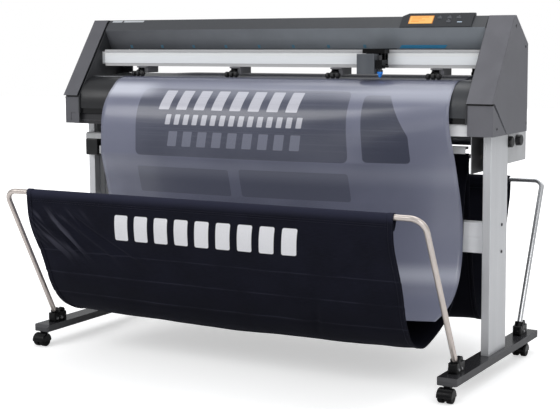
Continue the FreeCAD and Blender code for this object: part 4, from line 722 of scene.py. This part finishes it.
def cloth_material(sleeve_start):
    """Dark woven polyester with a row of plain white printed blocks on the front, painted shade low
    down and painted highlights on the front sleeve, the folds at the left and the packing creases.
    """
    g = Graph("basket_cloth")
    uv = g.node("ShaderNodeUVMap", uv_map="sheet").outputs[0]
    across, along, _ = g.axes(uv)
    thread = 1.3 * MM
    warp, weft = (g.math("SINE", g.times(axis, 2 * math.pi / thread)) for axis in (across, along))
    weave = g.times(warp, weft)
    slub = g.noise(3 * MM, detail=3, stretch=(0.15, 1.0, 1.0), vector=uv)
    cloudy = g.noise(140 * MM, detail=4, vector=uv)
    navy = srgb(15, 16, 27)
    tone = g.mix(g.span(cloudy), shade(navy, 0.75), shade(navy, 1.2))
    tone = g.mix(g.span(slub, 0.35, 0.75, 0.0, 0.35), tone, srgb(26, 27, 40))
    tone = g.mix(g.span(weave, -1.0, 1.0, 0.0, 0.10), tone, srgb(44, 46, 62))
    # Painted shade: the cloth darkens toward the bottom of the basket.
    shaded_low_part = g.span(along, sleeve_start + 0.18, sleeve_start + 0.46, 0.0, 0.5)
    tone = g.mix(shaded_low_part, tone, srgb(9, 9, 15))
    # Painted highlight along the crown of the front sleeve.
    crown = g.times(g.span(along, sleeve_start - 0.030, sleeve_start),
                    g.span(along, sleeve_start + 0.034, sleeve_start + 0.008), 0.45)
    tone = g.mix(crown, tone, srgb(62, 64, 84))
    # Painted highlight: soft gleams along diagonal folds at the left.
    leaning = g.minus(across, g.times(along, 0.85))
    folds = g.noise(36 * MM, detail=2, vector=g.pair(leaning, g.times(along, 0.22)))
    fold_highlight = g.times(g.span(folds, 0.48, 0.66), g.span(across, -0.36, -0.52),
                         g.span(along, sleeve_start + 0.045, sleeve_start + 0.085),
                         g.span(along, sleeve_start + 0.27, sleeve_start + 0.14), 0.75)
    tone = g.mix(fold_highlight, tone, srgb(72, 72, 84))
    # Painted highlight: a pale line along each packing crease.
    for crease_at in CREASES:
        off = g.math("ABSOLUTE", g.minus(along, sleeve_start + crease_at))
        line = g.times(g.span(off, 3.5 * MM, 0.0), g.span(cloudy, 0.35, 0.60, 0.1, 0.55))
        tone = g.mix(line, tone, srgb(50, 51, 64))
    pitch = (MARK_RIGHT - MARK_LEFT) / MARK_BLOCKS
    middle_along = sleeve_start + (MARK_TOP + MARK_BOTTOM) / 2
    half = (pitch * 0.33, (MARK_BOTTOM - MARK_TOP) / 2)
    blocks = [g.slanted_box(across, along, (MARK_LEFT + pitch * (index + 0.5), middle_along),
                            half, 6 * MM, slant=-0.22, blur=0.8 * MM)
              for index in range(MARK_BLOCKS)]
    print_wear = g.span(g.noise(2.5 * MM, detail=4, vector=uv), 0.30, 0.42, 0.80, 1.0)
    printed = g.times(g.union(blocks), print_wear)
    tone = g.mix(printed, tone, srgb(232, 232, 236))
    height = g.math("ADD", g.times(weave, 0.5), g.times(slub, 0.7))
    g.set(Base_Color=tone, Roughness=g.minus(0.80, g.times(printed, 0.25)),
          Sheen_Weight=g.minus(0.05, g.times(printed, 0.05)), Sheen_Roughness=0.4,
          Sheen_Tint=srgb(150, 155, 190), Specular_IOR_Level=0.10,
          Normal=g.bump(height, 0.12 * MM, 0.5))
    return g.material


def build_basket_cloth():
    """The W-shaped cloth with sleeves, sag, packing creases and pulled corners."""
    path, along = smooth_path(cloth_path(), 6.5 * MM)
    front_start = along[np.argmax(path[:len(path) // 4, 1])]
    rod_index = int(np.argmax(path[:, 1]))
    rod_at = along[rod_index]
    past_rod = rod_index + len(path) // 8
    rear_at = along[past_rod + int(np.argmax(path[past_rod:, 1]))]
    half_width = (CLOTH_RIGHT - CLOTH_LEFT) / 2

    def displace(x, s):
        below = s - front_start                     # distance from the top of the front bar
        side = x / half_width
        free = (fade(below, 0.06, 0.16) * fade(rod_at - s, 0.06, 0.16)
                + fade(s - rod_at, 0.06, 0.16) * fade(rear_at - s, 0.06, 0.16))
        push = 3.5 * MM * value_noise(x, s, 0.22, 1) * free
        push += 1.3 * MM * value_noise(x, s, 0.07, 2) * free
        for seed, crease_at in enumerate(CREASES, 3):
            wander = 4.0 * MM * value_noise(x, s * 0, 0.25, seed)
            strength = 0.55 + 0.45 * value_noise(x, s * 0, 0.12, seed + 20)
            push -= 2.6 * MM * strength * ridge(below - crease_at - wander, 4.0 * MM) * free
            push += 1.6 * MM * ridge(below - crease_at - wander - 9 * MM, 7 * MM) * free
        for number, (start_x, lean, length) in enumerate(FOLDS):
            across_fold = (x - start_x) - lean * (below - 0.05)
            reach = fade(below, 0.045, 0.09) * (1 - fade(below, 0.05 + length, 0.27))
            amount = (4.6 if start_x < 0 else 2.6) * MM
            wavy = 1.0 + 0.3 * math.sin(2.1 * number)
            push += amount * wavy * ridge(across_fold, 17 * MM) * reach
            push -= 0.7 * amount * ridge(across_fold - 30 * MM, 15 * MM) * reach
        pinch = ridge(x - 0.36 + 0.25 * (below - 0.30), 9 * MM) * ridge(below - 0.36, 0.07)
        push += 4.0 * MM * pinch
        seam = ridge(below - SLEEVE_LENGTH, 2.5 * MM)
        push -= 0.7 * MM * seam
        bottom = ridge(below - 0.53, 0.22) + ridge(s - rod_at - 0.60, 0.25)
        sag = 12.0 * MM * (1 - side ** 2) * np.clip(bottom, 0.0, 1.0)
        edge = fade(np.abs(side), 0.90, 1.0)
        push += 3.0 * MM * edge * value_noise(s, x * 0, 0.11, 9) * free
        shift = -np.sign(x) * 12.0 * MM * edge * np.clip(bottom, 0.0, 1.0)
        skew = fade(s - rod_at, -0.30, rear_at - rod_at)
        shift -= 27.0 * MM * skew * np.clip(side, 0.0, 1.0)
        shift += 10.0 * MM * np.clip(-side, 0.0, 1.0)
        return push, (shift, 0.0 * x, -sag)

    x_values = np.linspace(CLOTH_LEFT, CLOTH_RIGHT, 200)
    material = cloth_material(front_start)
    cloth = sheet("basket_cloth", path, along, x_values, displace, material, CLOTH_THICKNESS)
    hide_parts("basket_fabric")
    ride_machine(cloth)

    hem = 18.0 * MM
    for side, edge_x in (("left", CLOTH_LEFT), ("right", CLOTH_RIGHT)):
        inner_x = edge_x + math.copysign(hem, -edge_x)
        columns = np.linspace(min(edge_x, inner_x), max(edge_x, inner_x), 5)

        def proud(x, s):
            push, offset = displace(x, s)
            return push - (CLOTH_THICKNESS + 0.15 * MM), offset
        strip = sheet("basket_hem_" + side, path, along, columns, proud, material,
                      CLOTH_THICKNESS * 0.9)
        ride_machine(strip)
    build_stitches(path, along, displace, front_start, rear_at)


def build_stitches(path, along, displace, front_start, rear_at):
    """Rows of thread along the sleeve seams and the side hems."""
    tangent = path_tangent(path, along)

    def surface(x, s):
        y, z = np.interp(s, along, path[:, 0]), np.interp(s, along, path[:, 1])
        ty, tz = np.interp(s, along, tangent[:, 0]), np.interp(s, along, tangent[:, 1])
        push, offset = displace(np.array([[x]]), np.array([[s]]))
        lift = float(push[0, 0]) - CLOTH_THICKNESS * 0.62
        normal = Vector((0, -tz, ty)).normalized()
        moved = Vector([float(part[0, 0]) for part in offset])
        at = Vector((x, y, z)) + moved + normal * lift
        return at, normal

    length, thickness, gap = 3.4 * MM, 0.45 * MM, 5.0 * MM
    parts = []

    def stitch(at, direction, normal):
        side = direction.cross(normal).normalized()
        ends = [at - direction * length / 2, at + direction * length / 2]
        middle = at - normal * thickness
        ring = [middle + side * thickness, middle - normal * thickness * 0.3,
                middle - side * thickness, middle + normal * thickness]
        faces = [[0, 2, 3], [0, 3, 4], [0, 4, 5], [0, 5, 2], [1, 3, 2], [1, 4, 3], [1, 5, 4],
                 [1, 2, 5]]
        parts.append((ends + ring, faces))

    for s in (front_start + SLEEVE_LENGTH - 2 * MM, front_start + SLEEVE_LENGTH + 4 * MM,
              rear_at - SLEEVE_LENGTH + 2 * MM):
        for x in np.arange(CLOTH_LEFT + 6 * MM, CLOTH_RIGHT - 6 * MM, gap):
            at, normal = surface(x, s)
            stitch(at, RIGHT, normal)
    for inner in (4 * MM, 15 * MM):
        for s in np.arange(front_start + 0.02, rear_at - 0.02, gap):
            for x in (CLOTH_LEFT + inner, CLOTH_RIGHT - inner):
                at, normal = surface(x, s)
                ahead, _ = surface(x, s + gap)
                stitch(at - normal * CLOTH_THICKNESS, (ahead - at).normalized(), normal)
    thread = moulded("stitch_thread", srgb(46, 47, 64), 0.6, grain=0.02 * MM, grain_size=0.4 * MM,
                     wear=0.0)
    add_piece("basket_stitching", join_parts(parts), thread)


# ---------------------------------------------------------------- basket pipes
def pipe_material(name, colour, roughness):
    """Drawn tube: fine grain, faint scuffs and cloudy tone."""
    g = Graph(name)
    fine, cloudy = g.grain(1.2 * MM, 60 * MM)
    scuff = g.span(g.noise(7 * MM, detail=5), 0.55, 0.68, 0.0, 0.25)
    tone = g.mix(g.span(cloudy), shade(colour, 0.94), shade(colour, 1.04))
    tone = g.mix(scuff, tone, shade(colour, 0.8))
    g.set(Base_Color=tone, Metallic=0.85,
          Roughness=g.over(cloudy, roughness - 0.03, roughness + 0.05),
          Normal=g.bump(fine, 0.01 * MM, 0.3))
    return g.material


def build_pipes():
    """Both bent pipes as smooth tubes on the centre lines of the CAD ones."""
    steps, turns = 28, 12               # points round a tube and pieces along a bend
    for node, end, bend, colour, roughness in (
            # Painted light: one steel tube in two tones, warmer and darker at the front and paler
            # at the rear, for how each catches the light.
            ("basket_front_pipe", -1, 42 * MM, srgb(222, 212, 206), 0.34),
            ("basket_rear_pipe", 1, 25 * MM, srgb(238, 239, 241), 0.18)):
        low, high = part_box(node)
        reach = high.x - BAR_RADIUS
        near, far = (high.y, low.y) if end < 0 else (low.y, high.y)
        top = Vector((0, far - end * BAR_RADIUS, high.z - BAR_RADIUS))
        foot_y = near + end * BAR_RADIUS
        foot = Vector((0, foot_y, low.z + 0.5 * MM))
        leg = (top - foot).normalized()
        line = [foot + Vector((reach, 0, 0))]
        corner = top + Vector((reach, 0, 0))
        for step in range(turns + 1):
            angle = math.pi / 2 * step / turns
            line.append(corner - leg * bend * (1 - math.sin(angle))
                        - Vector((bend * (1 - math.cos(angle)), 0, 0)))
        line += [Vector((-point.x, point.y, point.z)) for point in reversed(line)]
        points = []
        for index, at in enumerate(line):
            ahead = line[min(index + 1, len(line) - 1)] - line[max(index - 1, 0)]
            out = Vector((0, leg.z, -leg.y))
            side = ahead.normalized().cross(out).normalized()
            for step in range(steps):
                angle = 2 * math.pi * step / steps
                points.append(at + (out * math.cos(angle) + side * math.sin(angle)) * BAR_RADIUS)
        faces = ring_faces(len(line), steps, closed=False)
        material = pipe_material(node.replace("basket_", "") + "_steel", colour, roughness)
        tube = add_object(node + "_tube", points, faces, material, smooth=True)
        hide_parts(node)
        ride_machine(tube)


# ---------------------------------------------------------------- film
FILM_THICKNESS = 0.35 * MM
TWIST_ALONG = (0.0, 0.215, 0.245, 0.45, 0.494, 0.583, 1.2)      # metres down the film
TWIST_FORWARD = (0.0, 0.0, 0.010, 0.104, 0.109, 0.118, 0.118)   # lead of the left edge there
PRINTED_PANELS = (                      # X from and to, metres down the film from and to, corner
    (-0.442, 0.320, 0.218, 0.450, 0.020), (-0.442, -0.094, 0.490, 0.582, 0.006),
    (-0.055, 0.316, 0.486, 0.581, 0.010))
CUT_PANEL = (0.367, 0.512, 0.230, 0.446, 0.014)                 # the same, its top right cut off
BRIGHT_ROWS = (                         # X from and to, down from and to, blocks, filled share
    (-0.354, 0.183, 0.226, 0.289, 8, 0.60), (-0.325, 0.188, 0.304, 0.338, 15, 0.56))
MUTED_ROW = (-0.314, 0.188, 0.361, 0.415, 9, 0.60)


def film_path():
    """(Y, Z) outline of the film: over the bed, round the guide and down into the basket."""
    guide_y, guide_z = GUIDE_CENTRE
    top = PLATEN_TOP + 0.55 * MM
    wrap = top - guide_z
    points = [(guide_y + 135.3 * MM, top + 5.9 * MM), (guide_y + 105.3 * MM, top + 3.4 * MM),
              (guide_y + 81.3 * MM, top + 1.4 * MM), (guide_y + 45.3 * MM, top + 0.2 * MM),
              (guide_y + 15.3 * MM, top)]
    points += [(guide_y - wrap * math.sin(math.radians(turn)),
                guide_z + wrap * math.cos(math.radians(turn))) for turn in (0, 12, 24, 36, 48)]
    points += [(guide_y + y * MM, guide_z + z * MM) for y, z in (
        (-79.2, 41), (-92.2, 11), (-94.7, -19), (-85.7, -59), (-68.7, -98), (-46.7, -144),
        (-16.7, -219), (9.3, -289), (22.3, -344), (25.3, -394), (17.3, -459), (-6.7, -519),
        (-46.7, -559), (-104.7, -586), (-181.7, -602))]
    return points


def film_material():
    """Glossy smoke-coloured film with plain darker panels and pale blocks printed on it, and
    painted light: highlights on its bends, reflections and a paler right side.
    """
    g = Graph("film")
    uv = g.node("ShaderNodeUVMap", uv_map="sheet").outputs[0]
    across, along, _ = g.axes(uv)

    def box(left, right, top, bottom, corner, slant=0.0):
        middle = ((left + right) / 2, (top + bottom) / 2)
        half = ((right - left) / 2, (bottom - top) / 2)
        return g.slanted_box(across, along, middle, half, corner, slant)

    cut_line = g.minus(g.minus(across, 0.447), g.times(g.minus(along, 0.225), 0.50))
    cut_panel = g.times(box(*CUT_PANEL), g.span(cut_line, 0.5 * MM, -0.5 * MM))
    panels = g.union([cut_panel] + [box(*panel) for panel in PRINTED_PANELS])

    def row(left, right, top, bottom, count, share):
        pitch = (right - left) / count
        return g.union([box(left + pitch * index, left + pitch * (index + share), top, bottom,
                            3 * MM, -0.14) for index in range(count)])

    bright = g.union([row(*places) for places in BRIGHT_ROWS])

    cloudy = g.noise(200 * MM, detail=3, vector=uv)
    film = g.mix(g.span(cloudy), srgb(117, 120, 139), srgb(126, 129, 149))
    # Painted light: the film is painted paler toward its right edge.
    film = g.mix(g.span(across, 0.36, 0.62, 0.0, 0.5), film, srgb(136, 139, 158))
    # Painted reflection: the film over the bed is painted darker, for the dark hood it reflects.
    film = g.mix(g.span(along, 0.205, 0.150), film, srgb(90, 93, 114))
    dark = g.mix(g.span(cloudy), srgb(78, 81, 98), srgb(88, 91, 108))
    dark = g.mix(g.span(along, 0.46, 0.50), dark, srgb(103, 106, 123))
    dark = g.mix(g.span(across, 0.34, 0.36, 0.0, 0.6), dark, srgb(72, 75, 90))
    tone = g.mix(panels, film, dark)
    tone = g.mix(bright, tone, srgb(204, 204, 214))
    tone = g.mix(row(*MUTED_ROW), tone, srgb(128, 131, 148))
    # Painted reflection: faint horizontal streaks across the upper film.
    streaks = g.noise(5 * MM, detail=3, stretch=(0.01, 1.0, 1.0), vector=uv)
    upper = g.span(along, 0.46, 0.36, 0.0, 0.16)
    tone = g.mix(g.times(g.span(streaks, 0.45, 0.75), upper), tone, srgb(140, 143, 160))
    # Painted highlights on the shoulder over the guide, and on the middle and low bends.
    shoulder_highlight = g.times(g.span(along, 0.178, 0.214), g.span(along, 0.262, 0.230))
    ends = g.math("MAXIMUM", g.span(across, -0.36, -0.48, 0.22, 0.80),
                  g.span(across, 0.20, 0.48, 0.22, 0.45))
    low_bend_highlight = g.times(g.span(along, 0.755, 0.80), g.span(along, 0.845, 0.80), 0.40)
    middle_bend_highlight = g.times(g.span(along, 0.44, 0.485), g.span(along, 0.54, 0.485), 0.12)
    gleam = g.union([g.times(shoulder_highlight, ends), low_bend_highlight, middle_bend_highlight])
    tone = g.mix(gleam, tone, srgb(222, 225, 238))
    ripple = g.noise(90 * MM, detail=2, stretch=(0.25, 1.0, 1.0), vector=uv)
    micro = g.noise(2.0 * MM, detail=2, vector=uv)
    g.set(Base_Color=tone, Roughness=g.span(micro, 0.2, 0.8, 0.24, 0.31), Coat_Weight=0.25,
          Coat_Roughness=0.12,
          Normal=g.bump(g.math("ADD", ripple, g.times(micro, 0.01)), 0.9 * MM, 0.35))
    return g.material


def build_film():
    """The sheet of film, with a little life in its hanging part."""
    path, along = smooth_path(film_path(), 4.0 * MM)
    half_width = (FILM_RIGHT - FILM_LEFT) / 2
    middle = (FILM_RIGHT + FILM_LEFT) / 2

    def displace(x, s):
        side = (x - middle) / half_width
        loose = fade(s, 0.30, 0.60)
        push = 1.2 * MM * value_noise(x, s, 0.35, 11) * loose
        push += 1.5 * MM * side ** 4 * loose
        lead = np.interp(s, TWIST_ALONG, TWIST_FORWARD)
        twist = 1.0 - np.clip((x - FILM_LEFT) / (FILM_RIGHT - FILM_LEFT), 0.0, 1.0) ** 4
        lift = 5.5 * MM * fade(x - FILM_LEFT, 0.03, 0.22) * (1.0 - fade(s, 0.0, 0.085))
        return push, (0.0 * x, -lead * twist, lift)

    x_values = np.linspace(FILM_LEFT, FILM_RIGHT, 90)
    film = sheet("film_sheet", path, along, x_values, displace, film_material(), FILM_THICKNESS)
    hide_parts("media_sheet")
    ride_machine(film)


# ---------------------------------------------------------------- trim
def outward(up):
    """Direction out of a surface whose upward direction is given."""
    return RIGHT.cross(up).normalized()


def build_fascia_marks():
    """Blue roller-position ticks and a blue bar along the fascia's lower edge."""
    lip = Vector((0, *HOOD_LIP))
    up = (Vector((0, *HOOD_BREAK)) - lip).normalized()
    base = lip + outward(up) * 0.05 * MM
    blue = moulded("mark_blue", srgb(62, 140, 184), 0.35, grain=0.01 * MM, wear=0.0)
    first_tick, tick_pitch, ticks = -619.0 * MM, 128.3 * MM, []
    for index in range(8):
        place = base + RIGHT * (first_tick + tick_pitch * index) + up * 9.5 * MM
        ticks.append(plate(place, up, 10.0 * MM, 12.0 * MM, 0.9 * MM, 0.25 * MM))
    pale = moulded("tick_blue", srgb(84, 128, 152), 0.4, grain=0.01 * MM, wear=0.0)
    add_piece("fascia_ticks", join_parts(ticks), pale)
    bar = plate(base + RIGHT * 477 * MM + up * 8.0 * MM, up, 152 * MM, 12.0 * MM, 1.0 * MM,
                0.25 * MM, lean=0.9)
    add_piece("fascia_bar", bar, blue)


def build_top_labels():
    """Two plain pale strips at the left of the hood's sloped top."""
    crown = Vector((0, *HOOD_CROWN))
    up = (crown - Vector((0, *HOOD_BREAK))).normalized()
    place = crown - up * 6.5 * MM + outward(up) * 0.05 * MM
    strips = [plate(place + RIGHT * x, up, width, 8.0 * MM, 0.8 * MM, 0.3 * MM, lean=0.3)
              for x, width in ((-0.676, 42 * MM), (-0.606, 84 * MM))]
    pale = moulded("label_pale", srgb(188, 192, 196), 0.35, grain=0.01 * MM, wear=0.0)
    add_piece("top_labels", join_parts(strips), pale)


def build_panel_marks():
    """A plain dot on each key, a short dash above it, and a bright lamp strip."""
    keys = {name: centre_of(name) for name in ("key_menu", "key_up", "key_down", "key_enter")}
    up = (keys["key_up"] - keys["key_down"]).normalized()
    out = outward(up)
    parts = []
    for key in keys.values():
        dash_at = key + out * 0.7 * MM + up * 6.3 * MM
        parts.append(plate(dash_at, up, 5.0 * MM, 0.9 * MM, 0.4 * MM, 0.2 * MM))
        parts.append(plate(key + out * 0.9 * MM, up, 2.4 * MM, 2.4 * MM, 1.1 * MM, 0.65 * MM))
    pale = moulded("legend_pale", srgb(170, 174, 180), 0.4, grain=0.01 * MM, wear=0.0)
    add_piece("panel_legends", join_parts(parts), pale)
    lamp_at = keys["key_enter"] - up * 17.0 * MM + RIGHT * 6 * MM + out * 0.2 * MM
    bright = moulded("lamp_pale", srgb(190, 205, 222), 0.25, grain=0.01 * MM, wear=0.0)
    add_piece("panel_lamp", plate(lamp_at, up, 16 * MM, 3.4 * MM, 1.2 * MM, 0.6 * MM), bright)


def build_end_blocks():
    """Black end piece of the upper stay at the left, with a pale bracket behind it."""
    low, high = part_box("upper_frame")
    corner = Vector((low.x, low.y, high.z - 54.0 * MM))     # left front bottom of the stay

    def block(start, end, radius):
        return round_block(corner + Vector(start) * MM, corner + Vector(end) * MM, radius)

    black = moulded("end_black", srgb(26, 26, 28), 0.32, wear=0.4)
    add_piece("stay_end_block", block((0, -1.5, -57), (51, 25.8, -0.3), 4 * MM), black)
    light = moulded("bracket_pale", srgb(196, 197, 199), 0.4, wear=0.3)
    add_piece("stay_bracket", block((54, 4, -52), (72, 22, -24), 2 * MM), light)


def build_seam_shadow_strips():
    """Black strips that close the front of the split in each end cover, as painted shadow where the
    seam is in shade.
    """
    black = rubber("gasket_black", srgb(12, 12, 13), 0.6)
    low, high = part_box("lower_covers")
    for name, cover in (("left", "left_cover"), ("right", "right_cover")):
        inner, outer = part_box(cover)
        strip = round_block(Vector((inner.x + 1.5 * MM, low.y + 1.5 * MM, high.z - 0.5 * MM)),
                            Vector((outer.x - 1.5 * MM, low.y + 8.0 * MM, high.z + 6.0 * MM)),
                            1.0 * MM)
        add_piece("seam_shadow_strip_" + name, strip, black)


def build_bracket_bolts():
    """Bolt heads on both faces of each pipe bracket, with a washer under each."""
    low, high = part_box("basket_brackets")
    pipe_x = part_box("basket_front_pipe")[1].x - BAR_RADIUS
    profile = [(0.0, 5.6 * MM), (0.9 * MM, 5.6 * MM), (1.0 * MM, 4.6 * MM), (3.4 * MM, 4.6 * MM),
               (4.0 * MM, 3.8 * MM)]
    parts = []
    for side in (-1, 1):
        for y in (low.y + 14 * MM, low.y + 36 * MM, high.y - 14 * MM, high.y - 36 * MM):
            for face, x in ((1, pipe_x + 12.9 * MM), (-1, pipe_x - 14.9 * MM)):
                start = Vector((side * x, y, low.z + 11 * MM))
                parts.append(turned(start, Vector((side * face, 0, 0)), profile, 6))
    steel = brushed("bolt_zinc", srgb(170, 170, 172), (1.0, 0.1, 1.0), 0.26, streak=0.15)
    add_piece("bracket_bolts", join_parts(parts), steel)


# ---------------------------------------------------------------- stage
def build_floor():
    """Pale floor that glows a little toward the edges, only as the camera sees it."""
    g = Graph("floor_pale")
    cloudy = g.noise(0.6, detail=3)
    away = g.node("ShaderNodeVectorMath", operation="LENGTH")
    g.feed(away.inputs[0], g.place)
    glow = g.span(away.outputs["Value"], 0.8, 2.6, 0.50, 1.0)
    seen_glow = g.times(g.node("ShaderNodeLightPath").outputs["Is Camera Ray"], glow)
    g.set(Base_Color=g.mix(g.span(cloudy), srgb(243, 243, 243), srgb(247, 247, 247)),
          Roughness=0.85, Emission_Color=srgb(255, 255, 255), Emission_Strength=seen_glow)
    size = 14.0
    corners = [(-size, -size, 0), (size, -size, 0), (size, size, 0), (-size, size, 0)]
    add_object("floor", corners, [[0, 1, 2, 3]], g.material)


def build_world():
    """White backdrop for the camera, and softer light from all round, stronger from above."""
    world = bpy.data.worlds.new("studio")
    bpy.context.scene.world = world
    world.use_nodes = True
    tree = world.node_tree
    tree.nodes.clear()
    output, background, seen, choose, light_path, place, parts, height = (
        tree.nodes.new("ShaderNode" + kind) for kind in (
            "OutputWorld", "Background", "Background", "MixShader", "LightPath", "TexCoord",
            "SeparateXYZ", "MapRange"))
    for key, value in (("From Min", -0.25), ("From Max", 0.55), ("To Min", 0.22), ("To Max", 0.55)):
        height.inputs[key].default_value = value
    background.inputs["Color"].default_value = (0.97, 0.985, 1.0, 1.0)
    seen.inputs["Color"].default_value = (1.0, 1.0, 1.0, 1.0)
    seen.inputs["Strength"].default_value = 1.0
    for source, target in (
            (place.outputs["Generated"], parts.inputs[0]),
            (parts.outputs["Z"], height.inputs["Value"]),
            (height.outputs[0], background.inputs["Strength"]),
            (light_path.outputs["Is Camera Ray"], choose.inputs[0]),
            (background.outputs[0], choose.inputs[1]), (seen.outputs[0], choose.inputs[2]),
            (choose.outputs[0], output.inputs[0])):
        tree.links.new(source, target)


def build_lamps():
    """Four large soft lamps turned to the middle of the machine."""
    middle = Vector((0.0, 0.0, 0.75))
    for name, place_at, width, height_of, power in (
            ("key", (-1.9, -2.9, 2.5), 2.2, 1.6, 42.0),
            ("front_fill", (2.6, -2.2, 1.6), 1.4, 1.8, 17.0),
            ("top", (0.2, 0.6, 3.2), 3.2, 1.6, 26.0),
            ("rear_rim", (1.6, 2.8, 2.2), 1.6, 1.6, 16.0)):
        data = bpy.data.lights.new(name, "AREA")
        data.shape = "RECTANGLE"
        data.size, data.size_y = width, height_of
        data.energy = power
        lamp = bpy.data.objects.new(name, data)
        bpy.context.scene.collection.objects.link(lamp)
        lamp.location = place_at
        lamp.rotation_euler = (middle - Vector(place_at)).to_track_quat("-Z", "Y").to_euler()


def build_camera():
    """Camera at the right of the front, level with the hood, looking slightly down."""
    data = bpy.data.cameras.new("camera")
    data.sensor_width = 36.0
    data.lens = 83.62
    data.shift_x, data.shift_y = 0.0009, -0.0397
    data.clip_end = 60.0
    camera = bpy.data.objects.new("camera", data)
    bpy.context.scene.collection.objects.link(camera)
    place_at = Vector((2.0683, -3.6484, 1.0200))
    yaw, pitch, roll = 0.515, -0.111, -0.005
    forward = Vector((-math.sin(yaw) * math.cos(pitch), math.cos(yaw) * math.cos(pitch),
                      math.sin(pitch)))
    level = Vector((math.cos(yaw), math.sin(yaw), 0.0))
    upright = level.cross(forward)
    right = level * math.cos(roll) + upright * math.sin(roll)
    up = upright * math.cos(roll) - level * math.sin(roll)
    turn = Matrix((right, up, -forward)).transposed()
    camera.matrix_world = Matrix.Translation(place_at) @ turn.to_4x4()
    bpy.context.scene.camera = camera
    bpy.context.scene.view_settings.view_transform = "Standard"


paint_machine(machine_materials())
build_basket_cloth()
build_pipes()
build_film()
build_fascia_marks()
build_top_labels()
build_panel_marks()
build_end_blocks()
build_seam_shadow_strips()
build_bracket_bolts()
build_floor()
build_world()
build_lamps()
build_camera()
